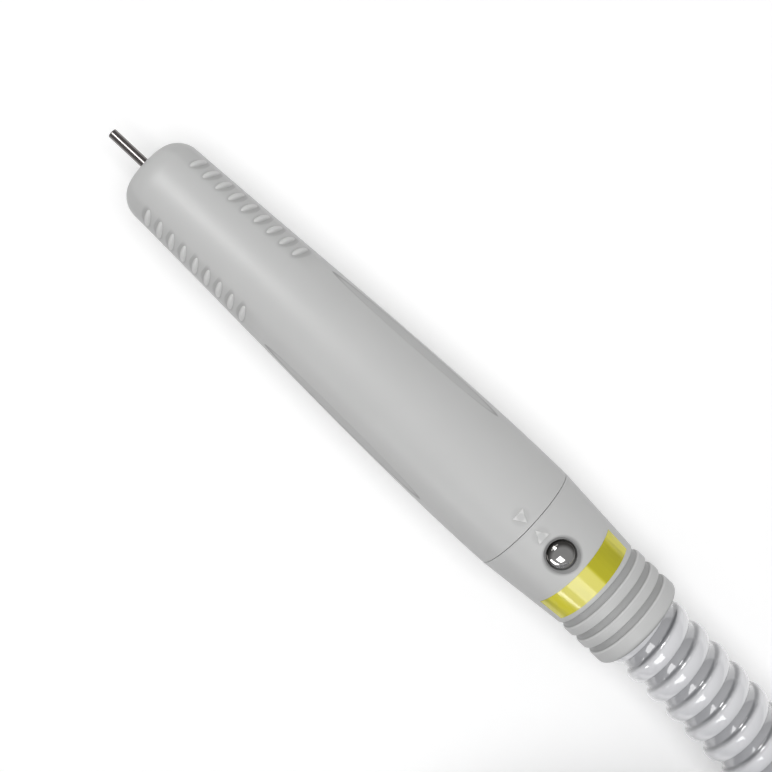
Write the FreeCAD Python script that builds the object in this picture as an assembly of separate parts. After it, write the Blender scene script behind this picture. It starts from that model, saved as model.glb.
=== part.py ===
import FreeCAD, Part
import math
import os

# Suction handpiece for surgical drilling, in millimetres.
# While a piece is drawn, x is the distance behind the nose face and the drive axis is y = 0, z = 0.
# Every piece is then set down so that the handpiece lies level, button up, on the plane z = 0.

V = FreeCAD.Vector
X_AXIS = V(1, 0, 0)
Y_AXIS = V(0, 1, 0)
Z_AXIS = V(0, 0, 1)

# Clearances
SEAT = 0.02            # between pieces that are pressed or glued together
RUN = 0.05             # between surfaces that turn or slide on each other
LOOSE = 0.10           # between surfaces that only pass each other
PAST = 1.0             # a cutting body runs on past a surface by this much

# Front sleeve
SLEEVE_LENGTH = 118.4
SLEEVE_WALL = 1.5
NOSE_RADIUS = 10.3     # at the end of the rounded nose
NOSE_ROUND = 6.1
NOSE_FACE = 0.3        # flat ring round the suction mouth
WAIST_X = 40.0
WAIST_RADIUS = 11.87
TAPER_X = 77.0
TAPER_RADIUS = 13.53
BELLY_INSET = 6.4      # from the widest place to the seam
BELLY_RADIUS = 14.13
SEAM_RADIUS = 14.05
SEAM_GAP = 0.15
BORE_RAMP = 1.0        # the inner wall rises to the parallel bore over this length

# Raised grip pads on the front sleeve
PADS_PER_ROW = 9
PAD_FIRST_X = 9.2
PAD_PITCH = 3.74
PAD_LENGTH = 5.8
PAD_WIDTH = 1.9
PAD_HEIGHT = 0.60
PAD_ROOT = 0.5         # a pad is rooted this deep under its own middle
PAD_LEAN = 16.0
PAD_ROW_ANGLES = (55.0, 125.0, -55.0, -125.0)

# Slender finger flutes on both sides of the front sleeve
FLUTE_ANGLE = 67.0
FLUTE_CENTRE_X = 72.0
FLUTE_LENGTH = 50.0
FLUTE_DEPTH = 0.40
FLUTE_ROUND = 12.0
FLUTE_RUNOUT = 4.0     # the cutting body runs on past each end of the flute

# Raised alignment marks beside the seam
MARK_SIDE = 3.5
MARK_HEIGHT = 0.28
MARK_OFFSET = 3.2      # from the seam to the middle of a mark
MARK_ROOT = 1.0        # a mark is rooted this deep in the wall
MARK_CORNERS = 3

# Rear collar
COLLAR_LENGTH = 36.5
CONE_ANGLE = 4.6593    # degrees between the cone's side and its axis
GROOVE_START = 22.7    # behind the seam
GROOVE_PITCH = 4.25
GROOVE_WIDTH = 1.65
GROOVE_RADIUS = 11.75
GROOVES = 3
LAND_RADIUS = 12.42
LAND_ROUND = 0.35
COLLAR_BORE = 10.95
COLLAR_MOUTH = 10.5    # opening that the hose leaves through
COLLAR_LIP = 1.5
REAR_ROUND = 1.8
SPIGOT_LENGTH = 10.9   # the sleeve turns on it
SPIGOT_RADIUS = 12.40

# Retaining ring and seal between the sleeve and the spigot
CLIP_INSET = 1.8       # behind the spigot's front end
CLIP_WIDTH = 0.8
CLIP_INNER = 11.95
CLIP_OUTER = 12.70
CLIP_GAP_ANGLE = 24.0
SEAL_INSET = 2.4       # ahead of the seam
SEAL_SECTION = 0.33

# Screws that hold the motor's end cap in the spigot
SCREW_INSET = 6.4      # ahead of the seam
SCREW_RADIUS = 1.0
SCREW_HEAD_RADIUS = 1.7
SCREW_HEAD_DEPTH = 0.8
SCREW_SLOT_WIDTH = 0.3
SCREW_SLOT_DEPTH = 0.4
SCREW_INNER = 8.2
SCREW_ANGLES = (60.0, 180.0, 300.0)

# Yellow band behind the button
BAND_START = 15.4
BAND_WIDTH = 6.2
BAND_HALF_ANGLE = 61.0
BAND_THICKNESS = 0.12

# Touch button and its switch, as depths under the collar's surface
BUTTON_OFFSET = 9.8    # behind the seam
BUTTON_RADIUS = 3.2
BUTTON_DOME = 1.35
BUTTON_TOP = 0.75
BUTTON_NECK = 1.5      # depth at which the stem widens to its guide
BUTTON_HOLE = 3.5
WELL_RADIUS = 4.35
WELL_FLOOR_RADIUS = 3.65
WELL_DEPTH = 0.95
WELL_RUNOUT = 0.3      # the cone that cuts the well runs on this far above the surface
BOSS_RADIUS = 5.3
BOSS_TOP = 1.5         # boss and rails are rooted in the wall from this depth
BOSS_DEPTH = 3.6
FLANGE_RADIUS = 4.4
FLANGE_THICKNESS = 0.6
BUTTON_SEAL_DEPTH = 2.2
BUTTON_SEAL_SECTION = 0.28
PLUNGER_RADIUS = 1.5
PLUNGER_DEPTH = 6.1
SWITCH_SIDE = 6.2
SWITCH_TOP = 5.3
SWITCH_HEIGHT = 2.5
SWITCH_WELL = 1.5
BOARD_THICKNESS = 1.0
BOARD_FRONT = 7.0
BOARD_REAR = 8.8
BOARD_HALF_WIDTH = 4.6
RAIL_WIDTH = 1.5
RAIL_LAP = 0.5         # the board lies this far over each rail
RAIL_FOOT = 0.6        # the rail stands this far below the board
BOARD_ENTRY = 1.0      # the slot is longer than the board in front

# Drill shank held in the chuck
SHANK_RADIUS = 1.175
SHANK_LENGTH = 44.5
SHANK_REACH = 10.7     # stands out of the nose
SHANK_CHAMFER = 0.35
SHANK_END_GAP = 0.4    # to the bottom of the collet's bore

# Collet
COLLET_FRONT = 6.2
COLLET_NOSE_LENGTH = 2.4
COLLET_NOSE_FACE = 1.9
COLLET_NOSE_RADIUS = 2.75
COLLET_CONE_END = 13.4
COLLET_RADIUS = 2.12
COLLET_TAIL = 2.6      # behind the cross pin
COLLET_SLOT_WIDTH = 0.4
COLLET_SLOT_END = 26.0
COLLET_TRAVEL = 0.9
COLLET_JAWS = 3
COLLET_FIRST_SLOT = 30.0

# Spindle
SPINDLE_FRONT = 9.0
SPINDLE_RADIUS = 3.0
SPINDLE_END_GAP = 0.3  # to the end cap's wall
SPINDLE_TAIL_ROOM = 0.5    # behind the collet, in the spindle's bore
SHOULDER_RADIUS = 3.5
SHOULDER_LENGTH = 0.8
SPRING_FLANGE_RADIUS = 4.4
SPRING_FLANGE_LENGTH = 1.7
CROSS_PIN_WALL = 3.8   # behind the bottom of the collet's bore
CROSS_PIN_RADIUS = 0.55
CROSS_PIN_REACH = 4.4

# Ball bearings, all three alike
BEARING_OUTER = 6.0
BEARING_WIDTH = 4.0
BALLS = 8
BALL_RADIUS = 0.79
BALL_CIRCLE = 4.5
RACE_GAP = 0.03
INNER_LAND = 3.85
OUTER_LAND = 5.15
SHIELD_THICKNESS = 0.25
FRONT_BEARING_X = 15.0
SPACER_LENGTH = 1.5
WASHER_ROOM = 0.7      # for the preload washer behind the rear bearing
CAGE_HEIGHT = 0.7
CAGE_THICKNESS = 0.35
FINGER_WIDTH = 1.1
FINGER_REACH = 0.3     # past the middle of the balls
FINGER_STEP = 0.05     # a finger is lower than its ring, inside and outside

# Chuck spring and thrust collar
DISC_SPRINGS = 8
DISC_OUTER = 4.3
DISC_THICKNESS = 0.45
THRUST_LENGTH = 3.4
THRUST_RADIUS = 4.7

# Twist release
TWIST_DEGREES = 35.0
RELEASE_TRAVEL = 1.2
RELEASE_GAP = 0.35     # to the thrust collar, taken up first
RELEASE_LENGTH = 4.95
RELEASE_BORE = 3.5
CAM_PIN_SET = 2.75     # behind the release ring's front face
CAM_PIN_RADIUS = 0.75
CAM_PIN_INNER = 4.4
CAM_PINS = 3
CAM_LEAD = 4.5         # the hub starts this far ahead of the pins
CAM_LENGTH = 9.0
CAM_WALL = 1.03
CAM_SLOT_GAP = 0.09
CAM_FINS = 4
CAM_SLOT_END = 0.15    # room past the pin at each end of a slot
CAM_FIN_WIDTH = 1.6
CAM_FIN_ROOT = 0.3
CAM_FIRST_FIN = 45.0

# Motor housing
HOUSING_FRONT = 13.0
HOUSING_TUBE_RADIUS = 7.05
BARREL_GAP = 0.7       # behind the cam sleeve
BARREL_RADIUS = 8.8
BARREL_WALL = 0.78
WEB_THICKNESS = 2.0
WEB_HOLE = 3.4
BEARING_LIP = 1.0
NOSE_NUT_FRONT = 9.6
NOSE_NUT_RADIUS = 4.4
NOSE_NUT_BORE = 3.15
NOSE_NUT_FACE = 0.6

# Motor
WINDING_GAP = 3.0      # from the housing's web to the windings
TOOTH_RADIUS = 5.0
TOOTH_SHOE = 0.6
TOOTH_ROOT = 7.0
TOOTH_LAP = 0.3        # a tooth is rooted this deep in the ring
TOOTH_WIDTH = 1.9
TEETH = 6
SHOE_GAP = 1.0
WINDING_OVERHANG = 4.0
WINDING_OUTER = 6.9
WINDING_INNER = 5.75
MAGNET_RADIUS = 4.6
MAGNET_OVERHANG = 1.0  # past each end of the core
BALANCE_LENGTH = 2.1
SENSOR_BOARD_INNER = 4.9
SENSOR_BOARD_THICKNESS = 1.0
SENSOR_BOARD_GAP = 0.7     # to the end cap
SENSORS = 3
SENSOR_FIRST = 30.0
SENSOR_HEIGHT = 0.7
SENSOR_ROOT = 0.2
SENSOR_WIDTH = 1.8
SENSOR_INNER = 5.1
SENSOR_OUTER = 6.6

# Rear end cap and cable
CAP_LENGTH = 9.5
CAP_WALL = 3.8
CAP_FLANGE = 2.0
CAP_STANDOFF = 9.0     # from the cap to the spigot screws
LEG_WIDTH = 5.0
LEG_INNER = 7.3
LEG_ROOT = 0.5
FOOT_LENGTH = 6.0
CABLE_RADIUS = 2.2
CABLE_INSET = 0.4      # behind the cap's wall
GROMMET_RADIUS = 3.0
GROMMET_FLANGE = 4.2
GROMMET_LENGTH = 1.2

# Hose and its cuff inside the collar
HOSE_RADIUS = 10.2
CUFF_DEPTH = 11.9      # from the collar's rear end to the lip that the hose stops on
CUFF_LIP = 2.0
CUFF_BORE = 8.4
HOSE_FIT = 0.05

# Places worked out from the sizes above
BODY_LENGTH = SLEEVE_LENGTH + COLLAR_LENGTH
MIDDLE_X = (BODY_LENGTH - SHANK_REACH) / 2
AXIS_HEIGHT = BELLY_RADIUS
SLEEVE_BORE = SPIGOT_RADIUS + RUN
MOUTH_RADIUS = NOSE_RADIUS - NOSE_ROUND - NOSE_FACE
BELLY_X = SLEEVE_LENGTH - BELLY_INSET
SPIGOT_START = SLEEVE_LENGTH - SPIGOT_LENGTH
CLIP_X = SPIGOT_START + CLIP_INSET
SEAL_X = SLEEVE_LENGTH - SEAL_INSET
SCREW_X = SLEEVE_LENGTH - SCREW_INSET
BUTTON_X = SLEEVE_LENGTH + BUTTON_OFFSET
CONE_SLOPE = math.tan(math.radians(CONE_ANGLE))
SECOND_BEARING_X = FRONT_BEARING_X + BEARING_WIDTH + SPACER_LENGTH
BEARING_STOP_X = SECOND_BEARING_X + BEARING_WIDTH
SHANK_TIP = -SHANK_REACH
SHANK_END = SHANK_LENGTH - SHANK_REACH
COLLET_BORE_END = SHANK_END + SHANK_END_GAP
CROSS_PIN_X = COLLET_BORE_END + CROSS_PIN_WALL
COLLET_END = CROSS_PIN_X + COLLET_TAIL
THRUST_X = CROSS_PIN_X - THRUST_LENGTH / 2
RELEASE_X = THRUST_X + THRUST_LENGTH + RELEASE_GAP
CAM_PIN_X = RELEASE_X + CAM_PIN_SET
CAM_START = CAM_PIN_X - CAM_LEAD
BARREL_START = CAM_START + CAM_LENGTH + BARREL_GAP
HOUSING_BORE = BEARING_OUTER + SEAT
BARREL_BORE = BARREL_RADIUS - BARREL_WALL
FOOT_START = SCREW_X - FOOT_LENGTH / 2
FOOT_END = SCREW_X + FOOT_LENGTH / 2
CAP_END = SCREW_X - CAP_STANDOFF
CAP_START = CAP_END - CAP_LENGTH
CAP_WALL_X = CAP_END - CAP_WALL
BARREL_END = CAP_END - CAP_FLANGE
REAR_BEARING_X = CAP_WALL_X - WASHER_ROOM - BEARING_WIDTH
SPINDLE_END = CAP_WALL_X - SPINDLE_END_GAP
SENSOR_BOARD_X = CAP_START - SENSOR_BOARD_GAP - SENSOR_BOARD_THICKNESS
CORE_START = BARREL_START + WEB_THICKNESS + WINDING_GAP + WINDING_OVERHANG
CORE_END = SENSOR_BOARD_X - SENSOR_HEIGHT - LOOSE - WINDING_OVERHANG
MAGNET_START = CORE_START - MAGNET_OVERHANG
MAGNET_END = CORE_END + MAGNET_OVERHANG
CUFF_STOP = BODY_LENGTH - CUFF_DEPTH
CUFF_START = CUFF_STOP - CUFF_LIP
CAM_BORE = HOUSING_TUBE_RADIUS + RUN + SEAT
CAM_RADIUS = CAM_BORE + CAM_WALL
FLANGE_END = BEARING_STOP_X + SHOULDER_LENGTH + SPRING_FLANGE_LENGTH

# Route of the hose: points of the free run, in the finished part's own coordinates
HOSE_POINTS = [
    (CUFF_STOP - MIDDLE_X, 0.0, AXIS_HEIGHT),
    (96.0, 0.0, AXIS_HEIGHT),
    (136.0, -2.9, 12.6),
    (168.0, -5.8, 10.6),
    (197.0, -9.1, 10.3),
]

# Coil that the rest of the hose is wound into
COIL_RADIUS = 102.0
COIL_LEVELS = 2
COIL_TAIL_DEGREES = 51.5
COIL_FLOOR_GAP = 0.1

# Connector at the far end of the hose
PLUG_RADIUS = 10.1
PLUG_LENGTH = 36.0
PLUG_GRIP_GROOVES = 7
PLUG_GROOVE_DEPTH = 0.5
PLUG_PLAIN = 6.0       # plain length at each end of the grip
PLUG_CHAMFER = 1.0
AIR_SPIGOT_RADIUS = 8.0
AIR_SPIGOT_BORE = 6.6
AIR_SPIGOT_LENGTH = 14.0
AIR_BORE_DEPTH = 8.0   # inside the grip
SOCKET_RADIUS = 4.2
SOCKET_WALL = 0.6
INSERT_THICKNESS = 2.0
CONTACT_PINS = 5
CONTACT_CIRCLE = 2.4
CONTACT_RADIUS = 0.5
CONTACT_DEPTH = 6.0    # from the spigot's mouth to the insert's foot
CONTACT_RECESS = 1.0   # the pins end this far inside the mouth


def face_of(points):
    """A flat face from (x, r) points, in the half plane above the drive axis."""
    corners = [V(x, 0, r) for x, r in points]
    return Part.Face(Part.makePolygon(corners + corners[:1]))


def turned(points):
    """A solid turned about the drive axis from (x, r) points."""
    return face_of(points).revolve(V(0, 0, 0), X_AXIS, 360)


def tube(start, end, inner, outer):
    """A plain ring or tube on the drive axis."""
    return turned([(start, inner), (end, inner), (end, outer), (start, outer)])


def rod(start, end, radius):
    """A plain cylinder on the drive axis."""
    return Part.makeCylinder(radius, end - start, V(start, 0, 0), X_AXIS)


def spoke(x, inner, outer, radius, angle):
    """A radial cylinder at x, turned to the given angle from the top."""
    pin = Part.makeCylinder(radius, outer - inner, V(x, 0, inner), Z_AXIS)
    return about_axis(pin, angle)


def block(low, high):
    """A box between two corners."""
    size = [b - a for a, b in zip(low, high)]
    return Part.makeBox(size[0], size[1], size[2], V(*low))


def rounded(solid, round_radius, x, radius):
    """The turned solid with its circular edge at x and the given radius rounded."""
    edges = []
    for edge in solid.Edges:
        if hasattr(edge.Curve, "Radius") and edge.Curve.TypeId == "Part::GeomCircle":
            off = abs(edge.Curve.Center.x - x) + abs(edge.Curve.Radius - radius)
            if off < SEAT and abs(edge.Curve.Axis.x) > 0.5:
                edges.append(edge)
    return solid.makeFillet(round_radius, edges)


def about_axis(shape, angle):
    """The shape turned about the drive axis. Positive angles go from the top towards -y."""
    return shape.rotated(V(0, 0, 0), X_AXIS, angle)


def repeated(shape, count, first=0.0):
    """The shape repeated evenly about the drive axis."""
    return [about_axis(shape, first + i * 360.0 / count) for i in range(count)]


def at_surface(shape, x, radius, slope_angle, angle=0.0):
    """Moves a shape drawn on a local origin, +z outwards, onto the body's surface."""
    placed = shape.rotated(V(0, 0, 0), Y_AXIS, slope_angle).translated(V(x, 0, radius))
    return about_axis(placed, angle)


def outer_curve(inset=0.0):
    """The front sleeve's long outline, or the same line set in by a wall."""
    stations = [
        (NOSE_ROUND, NOSE_RADIUS),
        (WAIST_X, WAIST_RADIUS),
        (TAPER_X, TAPER_RADIUS),
        (BELLY_X, BELLY_RADIUS),
        (SLEEVE_LENGTH - SEAM_GAP, SEAM_RADIUS),
    ]
    curve = Part.BSplineCurve()
    curve.interpolate([V(x, 0, r - inset) for x, r in stations])
    return curve


def radius_at(curve, x):
    """The height of a long outline at x, found by halving."""
    low, high = curve.FirstParameter, curve.LastParameter
    for _ in range(40):
        middle = (low + high) / 2
        if curve.value(middle).x < x:
            low = middle
        else:
            high = middle
    return curve.value(low).z


def sleeve_blank():
    """The sleeve's wall: rounded nose, taper, belly, and a parallel bore at the seam."""
    outer = outer_curve()
    inner = outer_curve(SLEEVE_WALL)
    start = outer.value(outer.FirstParameter)
    rear = outer.value(outer.LastParameter)
    nose_face = V(0, 0, NOSE_RADIUS - NOSE_ROUND)
    corner = NOSE_ROUND * (1 - math.sqrt(0.5))
    nose_middle = V(corner, 0, NOSE_RADIUS - corner)
    bore_start = V(SPIGOT_START - LOOSE, 0, SLEEVE_BORE)
    inner_end_x = bore_start.x - BORE_RAMP
    inner_start = inner.value(inner.FirstParameter)
    last = inner.parameter(V(inner_end_x, 0, radius_at(inner, inner_end_x)))
    inner.segment(inner.FirstParameter, last)
    inner_end = inner.value(inner.LastParameter)
    inner_corner = SLEEVE_WALL + (NOSE_ROUND - SLEEVE_WALL) * (1 - math.sqrt(0.5))
    inner_middle = V(inner_corner, 0, NOSE_RADIUS - inner_corner)
    inner_face = V(SLEEVE_WALL, 0, NOSE_RADIUS - NOSE_ROUND)
    edges = [
        Part.Arc(nose_face, nose_middle, start).toShape(),
        outer.toShape(),
        Part.makeLine(rear, V(rear.x, 0, SLEEVE_BORE)),
        Part.makeLine(V(rear.x, 0, SLEEVE_BORE), bore_start),
        Part.makeLine(bore_start, inner_end),
        inner.toShape(),
        Part.Arc(inner_start, inner_middle, inner_face).toShape(),
        Part.makeLine(inner_face, V(SLEEVE_WALL, 0, MOUTH_RADIUS)),
        Part.makeLine(V(SLEEVE_WALL, 0, MOUTH_RADIUS), V(0, 0, MOUTH_RADIUS)),
        Part.makeLine(V(0, 0, MOUTH_RADIUS), nose_face),
    ]
    section = Part.Face(Part.Wire(Part.__sortEdges__(edges)))
    return section.revolve(V(0, 0, 0), X_AXIS, 360)


def grip_pad():
    """One raised pad like a grain of rice, long way round the body."""
    ball = Part.makeSphere(1.0)
    stretch = FreeCAD.Matrix()
    stretch.scale(PAD_WIDTH / 2, PAD_LENGTH / 2, 2 * PAD_HEIGHT)
    grain = ball.transformGeometry(stretch)
    return grain.common(
        block((-PAD_WIDTH, -PAD_LENGTH, -PAD_ROOT), (PAD_WIDTH, PAD_LENGTH, 2 * PAD_HEIGHT))
    )


def grip_pads(outline):
    """All rows of pads, sunk so that each stands out by its height."""
    pads = []
    for angle in PAD_ROW_ANGLES:
        side = 1 if angle > 0 else -1
        for i in range(PADS_PER_ROW):
            x = PAD_FIRST_X + i * PAD_PITCH
            pad = grip_pad().rotated(V(0, 0, 0), Z_AXIS, side * PAD_LEAN)
            height = radius_at(outline, x) - PAD_HEIGHT
            pads.append(at_surface(pad, x, height, 0.0, angle))
    return pads


def flute_cutter(outline, angle):
    """A long slender body that scoops one finger flute out of the sleeve's side."""
    ends = [FLUTE_CENTRE_X - FLUTE_LENGTH / 2, FLUTE_CENTRE_X + FLUTE_LENGTH / 2]
    heights = [radius_at(outline, x) for x in ends]
    rise = math.atan2(heights[1] - heights[0], FLUTE_LENGTH)
    middle = radius_at(outline, FLUTE_CENTRE_X)
    chord = sum(heights) / 2
    sagitta = max(FLUTE_DEPTH + chord - middle, FLUTE_DEPTH / 4)
    long_round = (FLUTE_LENGTH / 2) ** 2 / (2 * sagitta)
    reach = FLUTE_LENGTH / 2 + FLUTE_RUNOUT
    drop = long_round - math.sqrt(long_round**2 - reach**2)
    flank = Part.Arc(
        V(-reach, 0, FLUTE_ROUND - drop), V(0, 0, FLUTE_ROUND), V(reach, 0, FLUTE_ROUND - drop)
    )
    ends = [V(reach, 0, FLUTE_ROUND - drop), V(reach, 0, 0), V(-reach, 0, 0)]
    rest = Part.makePolygon(ends + [V(-reach, 0, FLUTE_ROUND - drop)])
    section = Part.Face(Part.Wire([flank.toShape()] + rest.Edges))
    cutter = section.revolve(V(0, 0, 0), X_AXIS, 360)
    height = middle + FLUTE_ROUND - FLUTE_DEPTH
    return at_surface(cutter, FLUTE_CENTRE_X, height, -math.degrees(rise), angle)


def mark(point_rearward):
    """A raised triangle, its point to the rear or to the front."""
    reach = MARK_SIDE / math.sqrt(3)
    if not point_rearward:
        reach = -reach
    corners = []
    for i in range(MARK_CORNERS):
        turn = 2 * math.pi * i / MARK_CORNERS
        corners.append(V(reach * math.cos(turn), reach * math.sin(turn), -MARK_ROOT))
    flat = Part.Face(Part.makePolygon(corners + corners[:1]))
    return flat.extrude(V(0, 0, MARK_ROOT + MARK_HEIGHT))


def front_sleeve():
    outline = outer_curve()
    sleeve = sleeve_blank()
    sleeve = sleeve.cut([flute_cutter(outline, a) for a in (FLUTE_ANGLE, -FLUTE_ANGLE)])
    mark_x = SLEEVE_LENGTH - MARK_OFFSET
    raised = grip_pads(outline)
    raised.append(at_surface(mark(True), mark_x, radius_at(outline, mark_x), 0.0))
    sleeve = sleeve.fuse(raised)
    clip_groove = tube(
        CLIP_X - LOOSE,
        CLIP_X + CLIP_WIDTH + LOOSE,
        SLEEVE_BORE - LOOSE,
        CLIP_OUTER + RUN,
    )
    return sleeve.cut(clip_groove).removeSplitter()


def cone_radius(x):
    """The collar's cone, at x behind the nose face."""
    return SEAM_RADIUS - CONE_SLOPE * (x - SLEEVE_LENGTH)


def collar_blank():
    """The collar's wall: spigot, shoulder, cone, grooves and lands, and a rounded rear edge."""
    rear = BODY_LENGTH
    points = [
        (SPIGOT_START, COLLAR_BORE),
        (SPIGOT_START, SPIGOT_RADIUS),
        (SLEEVE_LENGTH, SPIGOT_RADIUS),
        (SLEEVE_LENGTH, SEAM_RADIUS),
    ]
    land_edges = []
    for i in range(GROOVES):
        groove = SLEEVE_LENGTH + GROOVE_START + i * GROOVE_PITCH
        front_land = cone_radius(groove) if i == 0 else LAND_RADIUS
        land_edges += [(groove, front_land), (groove + GROOVE_WIDTH, LAND_RADIUS)]
        points += [
            (groove, front_land),
            (groove, GROOVE_RADIUS),
            (groove + GROOVE_WIDTH, GROOVE_RADIUS),
            (groove + GROOVE_WIDTH, LAND_RADIUS),
        ]
    points += [
        (rear, LAND_RADIUS),
        (rear, COLLAR_MOUTH),
        (rear - COLLAR_LIP, COLLAR_MOUTH),
        (rear - COLLAR_LIP, COLLAR_BORE),
    ]
    collar = rounded(turned(points), REAR_ROUND, rear, LAND_RADIUS)
    for x, radius in land_edges:
        room = radius - GROOVE_RADIUS - LOOSE
        collar = rounded(collar, min(LAND_ROUND, room), x, radius)
    return collar


def on_button(shape):
    """Places a piece of the button stack, drawn with z = 0 at the collar's surface."""
    return at_surface(shape, BUTTON_X, cone_radius(BUTTON_X), CONE_ANGLE)


def button_disc(radius, top, bottom):
    """A cylinder of the button stack between two depths."""
    return Part.makeCylinder(radius, bottom - top, V(0, 0, -bottom), Z_AXIS)


def board_bottom():
    return SWITCH_TOP + SWITCH_HEIGHT + BOARD_THICKNESS


def rear_collar():
    collar = collar_blank()
    envelope = rod(SLEEVE_LENGTH, BODY_LENGTH - COLLAR_LIP, COLLAR_BORE + SEAT)
    boss = on_button(button_disc(BOSS_RADIUS, BOSS_TOP, BOSS_DEPTH)).common(envelope)
    rails = []
    for side in (-1, 1):
        inner = side * (BOARD_HALF_WIDTH - RAIL_LAP)
        outer = side * (BOARD_HALF_WIDTH - RAIL_LAP + RAIL_WIDTH)
        low, high = min(inner, outer), max(inner, outer)
        rail = block(
            (-BOARD_FRONT, low, -board_bottom() - RAIL_FOOT),
            (BOARD_REAR, high, -BOSS_TOP),
        )
        rails.append(on_button(rail).common(envelope))
    collar = collar.fuse([boss] + rails)
    board_slot = block(
        (-BOARD_FRONT - BOARD_ENTRY, -BOARD_HALF_WIDTH - RUN, -board_bottom() - RUN),
        (BOARD_REAR + RUN, BOARD_HALF_WIDTH + RUN, RUN + BOARD_THICKNESS - board_bottom()),
    )
    well_slope = (WELL_RADIUS - WELL_FLOOR_RADIUS) / WELL_DEPTH
    well = Part.makeCone(
        WELL_FLOOR_RADIUS,
        WELL_RADIUS + WELL_RUNOUT * well_slope,
        WELL_DEPTH + WELL_RUNOUT,
        V(0, 0, -WELL_DEPTH),
        Z_AXIS,
    )
    cuts = [
        on_button(board_slot),
        on_button(well),
        on_button(button_disc(BUTTON_HOLE, -PAST, BOSS_DEPTH + PAST)),
        on_button(button_disc(FLANGE_RADIUS + LOOSE, BOSS_DEPTH, SWITCH_TOP)),
        tube(
            CLIP_X,
            CLIP_X + CLIP_WIDTH + LOOSE,
            CLIP_INNER - RUN,
            SPIGOT_RADIUS + LOOSE,
        ),
        tube(
            SEAL_X - SEAL_SECTION - LOOSE,
            SEAL_X + SEAL_SECTION + LOOSE,
            SPIGOT_RADIUS - 2 * SEAL_SECTION,
            SPIGOT_RADIUS + LOOSE,
        ),
    ]
    for angle in SCREW_ANGLES:
        inner, outer = COLLAR_BORE - PAST, SPIGOT_RADIUS + PAST
        cuts.append(spoke(SCREW_X, inner, outer, SCREW_RADIUS + RUN, angle))
        cuts.append(screw_head(angle, RUN))
    collar = collar.cut(cuts)
    mark_x = SLEEVE_LENGTH + MARK_OFFSET
    raised = at_surface(mark(False), mark_x, cone_radius(mark_x), CONE_ANGLE)
    return collar.fuse(raised).removeSplitter()


def screw_head(angle, extra=0.0):
    """The countersunk head of a spigot screw, or its recess."""
    top = SPIGOT_RADIUS - LOOSE + extra
    cone = Part.makeCone(
        SCREW_RADIUS,
        SCREW_HEAD_RADIUS + extra,
        SCREW_HEAD_DEPTH + extra,
        V(SCREW_X, 0, top - SCREW_HEAD_DEPTH - extra),
        Z_AXIS,
    )
    if extra:
        above = Part.makeCylinder(SCREW_HEAD_RADIUS + extra, PAST, V(SCREW_X, 0, top), Z_AXIS)
        cone = cone.fuse(above)
    return about_axis(cone, angle)


def spigot_screws():
    screws = []
    half = SCREW_SLOT_WIDTH / 2
    slot = block((-half, -SCREW_HEAD_RADIUS, -SCREW_SLOT_DEPTH), (half, SCREW_HEAD_RADIUS, PAST))
    for angle in SCREW_ANGLES:
        shank = spoke(
            SCREW_X,
            SCREW_INNER,
            SPIGOT_RADIUS - LOOSE - SCREW_HEAD_DEPTH + RUN,
            SCREW_RADIUS - SEAT,
            angle,
        )
        driver = at_surface(slot, SCREW_X, SPIGOT_RADIUS - LOOSE, 0.0, angle)
        screws.append(screw_head(angle).fuse(shank).cut(driver))
    return screws


def yellow_band():
    """A straight strip laid on the cone: its long edges lie square to the top of the cone."""
    start = SLEEVE_LENGTH + BAND_START
    reach = BAND_WIDTH / 2
    front, rear = start - reach, start + BAND_WIDTH + reach
    high = SEAT + BAND_THICKNESS
    skin = turned(
        [
            (front, cone_radius(front) + SEAT),
            (rear, cone_radius(rear) + SEAT),
            (rear, cone_radius(rear) + high),
            (front, cone_radius(front) + high),
        ]
    )
    wide = SEAM_RADIUS * 2
    slab = block((0, -wide, -wide), (BAND_WIDTH, wide, reach))
    slab = at_surface(slab, start, cone_radius(start), CONE_ANGLE)
    half = math.radians(BAND_HALF_ANGLE)
    wedge_points = [
        V(start - reach * 2, 0, 0),
        V(start - reach * 2, wide * math.sin(half), wide * math.cos(half)),
        V(start - reach * 2, wide * math.sin(half), wide * 2),
        V(start - reach * 2, -wide * math.sin(half), wide * 2),
        V(start - reach * 2, -wide * math.sin(half), wide * math.cos(half)),
    ]
    wedge = Part.Face(Part.makePolygon(wedge_points + wedge_points[:1]))
    wedge = wedge.extrude(V(BAND_WIDTH + reach * 4, 0, 0))
    return skin.common(slab).common(wedge)


def touch_button():
    """Polished dome on a grooved stem with a flange that stops under the boss."""
    base = BUTTON_DOME - BUTTON_TOP
    sphere_radius = (BUTTON_RADIUS**2 + BUTTON_DOME**2) / (2 * BUTTON_DOME)
    ball = Part.makeSphere(sphere_radius, V(0, 0, BUTTON_TOP - sphere_radius))
    dome = ball.common(button_disc(BUTTON_RADIUS + PAST, -BUTTON_TOP - PAST, base))
    stem = button_disc(BUTTON_RADIUS, base, BUTTON_NECK)
    guide = button_disc(BUTTON_HOLE - RUN - LOOSE / 2, BUTTON_NECK, BOSS_DEPTH + RUN)
    flange = button_disc(
        FLANGE_RADIUS, BOSS_DEPTH + RUN, BOSS_DEPTH + RUN + FLANGE_THICKNESS
    )
    groove_half = BUTTON_SEAL_SECTION + RUN
    top, bottom = BUTTON_SEAL_DEPTH - groove_half, BUTTON_SEAL_DEPTH + groove_half
    groove_floor = BUTTON_HOLE - RUN - 2 * BUTTON_SEAL_SECTION - SEAT
    groove = button_disc(BUTTON_HOLE + PAST, top, bottom)
    groove = groove.cut(button_disc(groove_floor, top, bottom))
    return on_button(dome.fuse([stem, guide, flange]).removeSplitter().cut(groove))


def button_seal():
    middle = BUTTON_HOLE - RUN - BUTTON_SEAL_SECTION
    ring = Part.makeTorus(middle, BUTTON_SEAL_SECTION, V(0, 0, -BUTTON_SEAL_DEPTH))
    return on_button(ring)


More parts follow.
